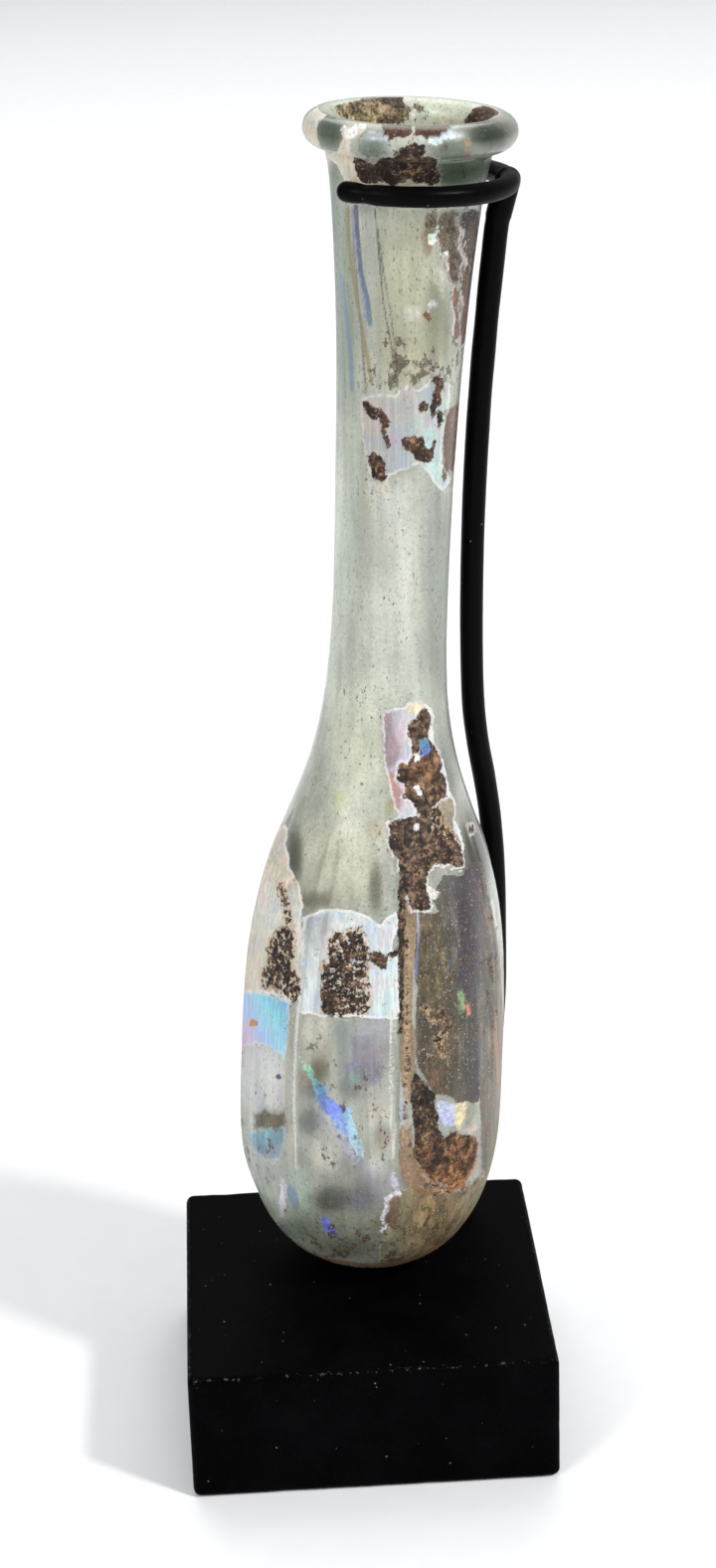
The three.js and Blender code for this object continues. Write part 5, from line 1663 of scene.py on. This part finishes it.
@dataclass(frozen=True)
class WireHook:
    """The bent rod behind the bottle and the open ring that holds its neck, joined by a brazed blob."""

    form: BottleForm
    rod: float = 3.2
    wire: float = 2.7
    ring_height: float = 154.7
    ring_clearance: float = 1.55
    open_turn: float = -40.0
    back_turn: float = 190.0
    root_turn: float = 129.5
    root_distance: float = 18.7
    root_depth: float = 11.0
    under_turn: float = 96.5
    under_drop: float = 1.5
    under_inset: float = 1 / 3
    joint_turn: float = 94.5
    joint_drop: float = 1 / 8
    stations: tuple[tuple[float, float, float], ...] = (
        (9, 127, 2.5), (17, 124.6, 1.5), (26, 122.5, 1.45), (35, 121.3, 1.45), (44, 121, 1.25),
        (54, 121, 1.5), (63, 120, 2.4), (70, 118, 3.1), (76, 114, 3), (82, 111, 2.9), (93, 109, 2.8),
        (109, 107.5, 2.2), (124, 105, 1.7), (135, 102, 1.4), (144, 99.4, 1.15),
    )
    steps: int = 24
    sides: int = 28
    cap_rows: int = 6
    rod_rows: int = 480
    ring_rows: int = 150
    blob_rows: int = 8
    blob_start: int = -14
    blob_swell: float = 0.1
    blob_rise: float = 0.25
    voxel: float = 0.22
    crimp_turn: float = -28.0
    crimp_reach: float = 4.0
    crimp: float = 0.12

    def ring_distance(self) -> float:
        """How far the ring's centre line runs from the bottle's axis."""
        return float(self.form.outer(np.array(self.ring_height))) + self.ring_clearance + self.wire / 2

    def rod_line(self) -> np.ndarray:
        """The rod's centre line from inside the block up to the ring."""
        root = self.form.around(0.0, self.root_distance, self.root_turn)
        root[2] = self.form.block_height
        buried = root - (0, 0, self.root_depth)
        height, turn, gap = np.array(self.stations, float).T
        passing = self.form.around(height, self.form.outer(height) + gap + self.rod / 2, turn)
        out = self.ring_distance()
        low, lower = (self.ring_height - drop * self.rod for drop in (self.joint_drop, self.under_drop))
        under = self.form.around(lower, out - self.under_inset * self.wire, self.under_turn)
        joint = self.form.around(low, out, self.joint_turn)
        return catmull_rom(np.vstack([buried, root, passing, under, joint]), self.steps)

    def ring_line(self) -> np.ndarray:
        """The ring's centre line from its open end, round the front and the right, to the back."""
        turns = np.linspace(self.open_turn, self.back_turn, 200)
        return self.form.around(self.ring_height, self.ring_distance(), turns)

    def tube(self, line: np.ndarray, radius: np.ndarray) -> tuple[np.ndarray, list[list[int]]]:
        """A closed tube with round ends, swept along a line with a frame that turns as little as it can.

        Args:
            line: The centre line's points.
            radius: The radius at each of them.

        Returns:
            The tube's points and faces.
        """
        along = np.gradient(line, axis=0)
        along /= np.linalg.norm(along, axis=1, keepdims=True)
        up = np.array([0.0, 0.0, 1.0]) if abs(along[0][2]) < 0.9 else np.array([1.0, 0.0, 0.0])
        across = np.cross(along, up)
        across /= np.linalg.norm(across, axis=1, keepdims=True)
        over = np.cross(across, along)
        turn = np.linspace(0, 2 * np.pi, self.sides, endpoint=False)
        circle = np.cos(turn)[None, :, None] * across[:, None] + np.sin(turn)[None, :, None] * over[:, None]
        cap = np.linspace(0, np.pi / 2, self.cap_rows, endpoint=False)[:, None, None]
        body = line[:, None] + radius[:, None, None] * circle
        start = line[0] - radius[0] * (np.cos(cap) * along[0] - np.sin(cap) * circle[0])
        end = line[-1] + radius[-1] * (np.cos(cap[::-1]) * along[-1] + np.sin(cap[::-1]) * circle[-1])
        shell = np.concatenate([start[1:], body, end[:-1]])
        tips = [line[0] - radius[0] * along[0], line[-1] + radius[-1] * along[-1]]
        return np.vstack([shell.reshape(-1, 3), *tips]), closed_faces(len(shell), self.sides)

    def make(self) -> bpy.types.Object:
        """Sweeps rod and ring, melts them into one mesh and paints it black."""
        rod = spaced(self.rod_line(), self.rod_rows)
        ring = spaced(self.ring_line(), self.ring_rows)
        turns = np.linspace(self.open_turn, self.back_turn, len(ring))
        pinch = 1 - self.crimp * np.exp(-(((turns - self.crimp_turn) / self.crimp_reach) ** 2))
        wobble = ValueNoise(11)
        rod_radius = self.rod / 2 * (1 + 0.02 * wobble.at(rod, 5))
        ring_radius = self.wire / 2 * pinch * (1 + 0.03 * wobble.at(ring, 3))
        joint_end = rod[-1] + np.array([0.0, 0.0, self.blob_rise])
        blob = np.linspace(rod[self.blob_start], joint_end, self.blob_rows)
        blob_radius = np.full(self.blob_rows, self.rod / 2 + self.blob_swell)
        parts = [self.tube(rod, rod_radius), self.tube(ring, ring_radius), self.tube(blob, blob_radius)]
        points, faces, first = [], [], 0
        for some_points, some_faces in parts:
            points.append(some_points)
            faces += [[first + index for index in face] for face in some_faces]
            first += len(some_points)
        piece = mesh_object("wire_hook", np.vstack(points), faces)
        turn_outward(piece)
        melt = piece.modifiers.new("melt", "REMESH")
        melt.mode = "VOXEL"
        melt.voxel_size = self.voxel * MM
        melt.use_smooth_shade = True
        soften = piece.modifiers.new("soften", "SMOOTH")
        soften.factor = 0.5
        soften.iterations = 6
        paint = BlackPaint("black_wire", shine=0.3, grain=0.7, depth=0.05, ink=(5, 5, 6), gloss=0.035)
        piece.data.materials.append(paint.make())
        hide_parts("wire_support")
        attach(piece, ROOT)
        return piece


@dataclass(frozen=True)
class WoodBlock:
    """The square block of painted wood, with worn edges."""

    width: float = 50.8
    depth: float = 50.8
    height: float = 19.05
    corner: float = 1.1
    cells: int = 84
    bunching: float = 0.75
    edge_reach: float = 1.4
    dent: float = 0.12
    dent_grain: float = 4.0
    wear: float = 0.43

    def make(self) -> bpy.types.Object:
        """Builds a block whose edges are rounded by moving a grid of points out from an inner box."""
        half = np.array([self.width, self.depth, self.height]) / 2
        line = np.sin(np.linspace(-np.pi / 2, np.pi / 2, self.cells))
        line = np.sign(line) * np.abs(line) ** self.bunching
        u, v = np.meshgrid(line, line, indexing="ij")
        points, faces, first = [], [], 0
        row, column = np.meshgrid(np.arange(self.cells - 1), np.arange(self.cells - 1), indexing="ij")
        base = (row * self.cells + column).ravel()
        quad = np.stack([base, base + self.cells, base + self.cells + 1, base + 1], axis=1)
        for axis in range(3):
            for sign in (-1, 1):
                cube = np.insert(np.stack([u, v], axis=-1), axis, sign, axis=-1).reshape(-1, 3)
                box = cube * half
                core = np.clip(box, self.corner - half, half - self.corner)
                out = box - core
                out /= np.maximum(np.linalg.norm(out, axis=1, keepdims=True), TINY)
                points.append(core + self.corner * out)
                faces += (first + quad).tolist()
                first += len(cube)
        place = np.vstack(points)
        edge = np.sort(half - np.abs(place), axis=1)[:, 1]
        near = np.exp(-((edge / self.edge_reach) ** 2))
        dented = self.dent * near * np.clip(ValueNoise(5).rough(place, self.dent_grain), 0, 1)
        place -= place / half * dented[:, None]
        place[:, 2] += half[2]
        piece = mesh_object("wood_block", place, faces)
        wear = self.wear * near * smooth(place[:, 2], self.height - 3, self.height - 0.3)
        set_numbers(piece, "wear", wear)
        turn_outward(piece, 0.001)
        paint = BlackPaint("black_wood", shine=0.42, grain=0.55, depth=0.05, ink=(2, 2, 3), gloss=0.012)
        piece.data.materials.append(paint.make())
        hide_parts("base_block")
        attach(piece, ROOT)
        return piece


@dataclass(frozen=True)
class Studio:
    """A pale floor, a white surrounding and a soft light at either side."""

    floor_reach: float = 12.0
    sky: float = 0.41
    sky_colour: tuple[float, float, float, float] = (0.97, 0.985, 1.0, 1.0)
    target: tuple[float, float, float] = (0.0, 0.0, 0.09)
    reach: float = 2.4
    right_way: tuple[float, float, float] = (0.587, -0.405, 0.70)
    left_way: tuple[float, float, float] = (-0.57, -0.60, 0.559)
    behind: tuple[float, float, float] = (0.0, 0.9, 1.3)

    def light(self, name: str, place: tuple[float, float, float], size: float, power: float) -> None:
        """Adds a square area light that looks at the bottle's middle."""
        data = bpy.data.lights.new(name, "AREA")
        data.shape = "SQUARE"
        data.size = size
        data.energy = power
        lamp = bpy.data.objects.new(name, data)
        away = np.array(place) - np.array(self.target)
        away /= np.linalg.norm(away)
        right = np.cross([0.0, 0.0, 1.0], away)
        right /= np.linalg.norm(right)
        lamp.matrix_world = placed(right, np.cross(away, right), away, np.array(place))
        bpy.context.scene.collection.objects.link(lamp)

    def make(self) -> None:
        """Adds floor, surrounding and lights, and leaves colours as they are."""
        reach = self.floor_reach / MM
        corners = np.array([(-reach, -reach, 0), (reach, -reach, 0), (reach, reach, 0), (-reach, reach, 0)])
        floor = mesh_object("pale_floor", corners, [[0, 1, 2, 3]])
        floor.data.materials.append(PaleFloor().make())
        world = bpy.data.worlds.new("studio")
        world.use_nodes = True
        background = world.node_tree.nodes["Background"]
        background.inputs["Color"].default_value = self.sky_colour
        background.inputs["Strength"].default_value = self.sky
        bpy.context.scene.world = world
        right = tuple(self.reach * step for step in self.right_way)
        left = tuple(self.reach * step for step in self.left_way)
        self.light("right_light", right, size=0.26, power=36)
        self.light("left_light", left, size=0.6, power=17)
        self.light("back_light", self.behind, size=1.2, power=11)
        bpy.context.scene.view_settings.view_transform = "Standard"


def main() -> None:
    """Builds the scene and reports each piece."""
    logging.basicConfig(level=logging.INFO, format="%(message)s")
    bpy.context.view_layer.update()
    view, form = PhotoView(), BottleForm()
    view.make()
    Studio().make()
    for maker in (WeatheredBottle(form, view), WireHook(form), WoodBlock()):
        piece = maker.make()
        LOG.info("%s: %d vertices", piece.name, len(piece.data.vertices))


if __name__ == "__main__":
    main()
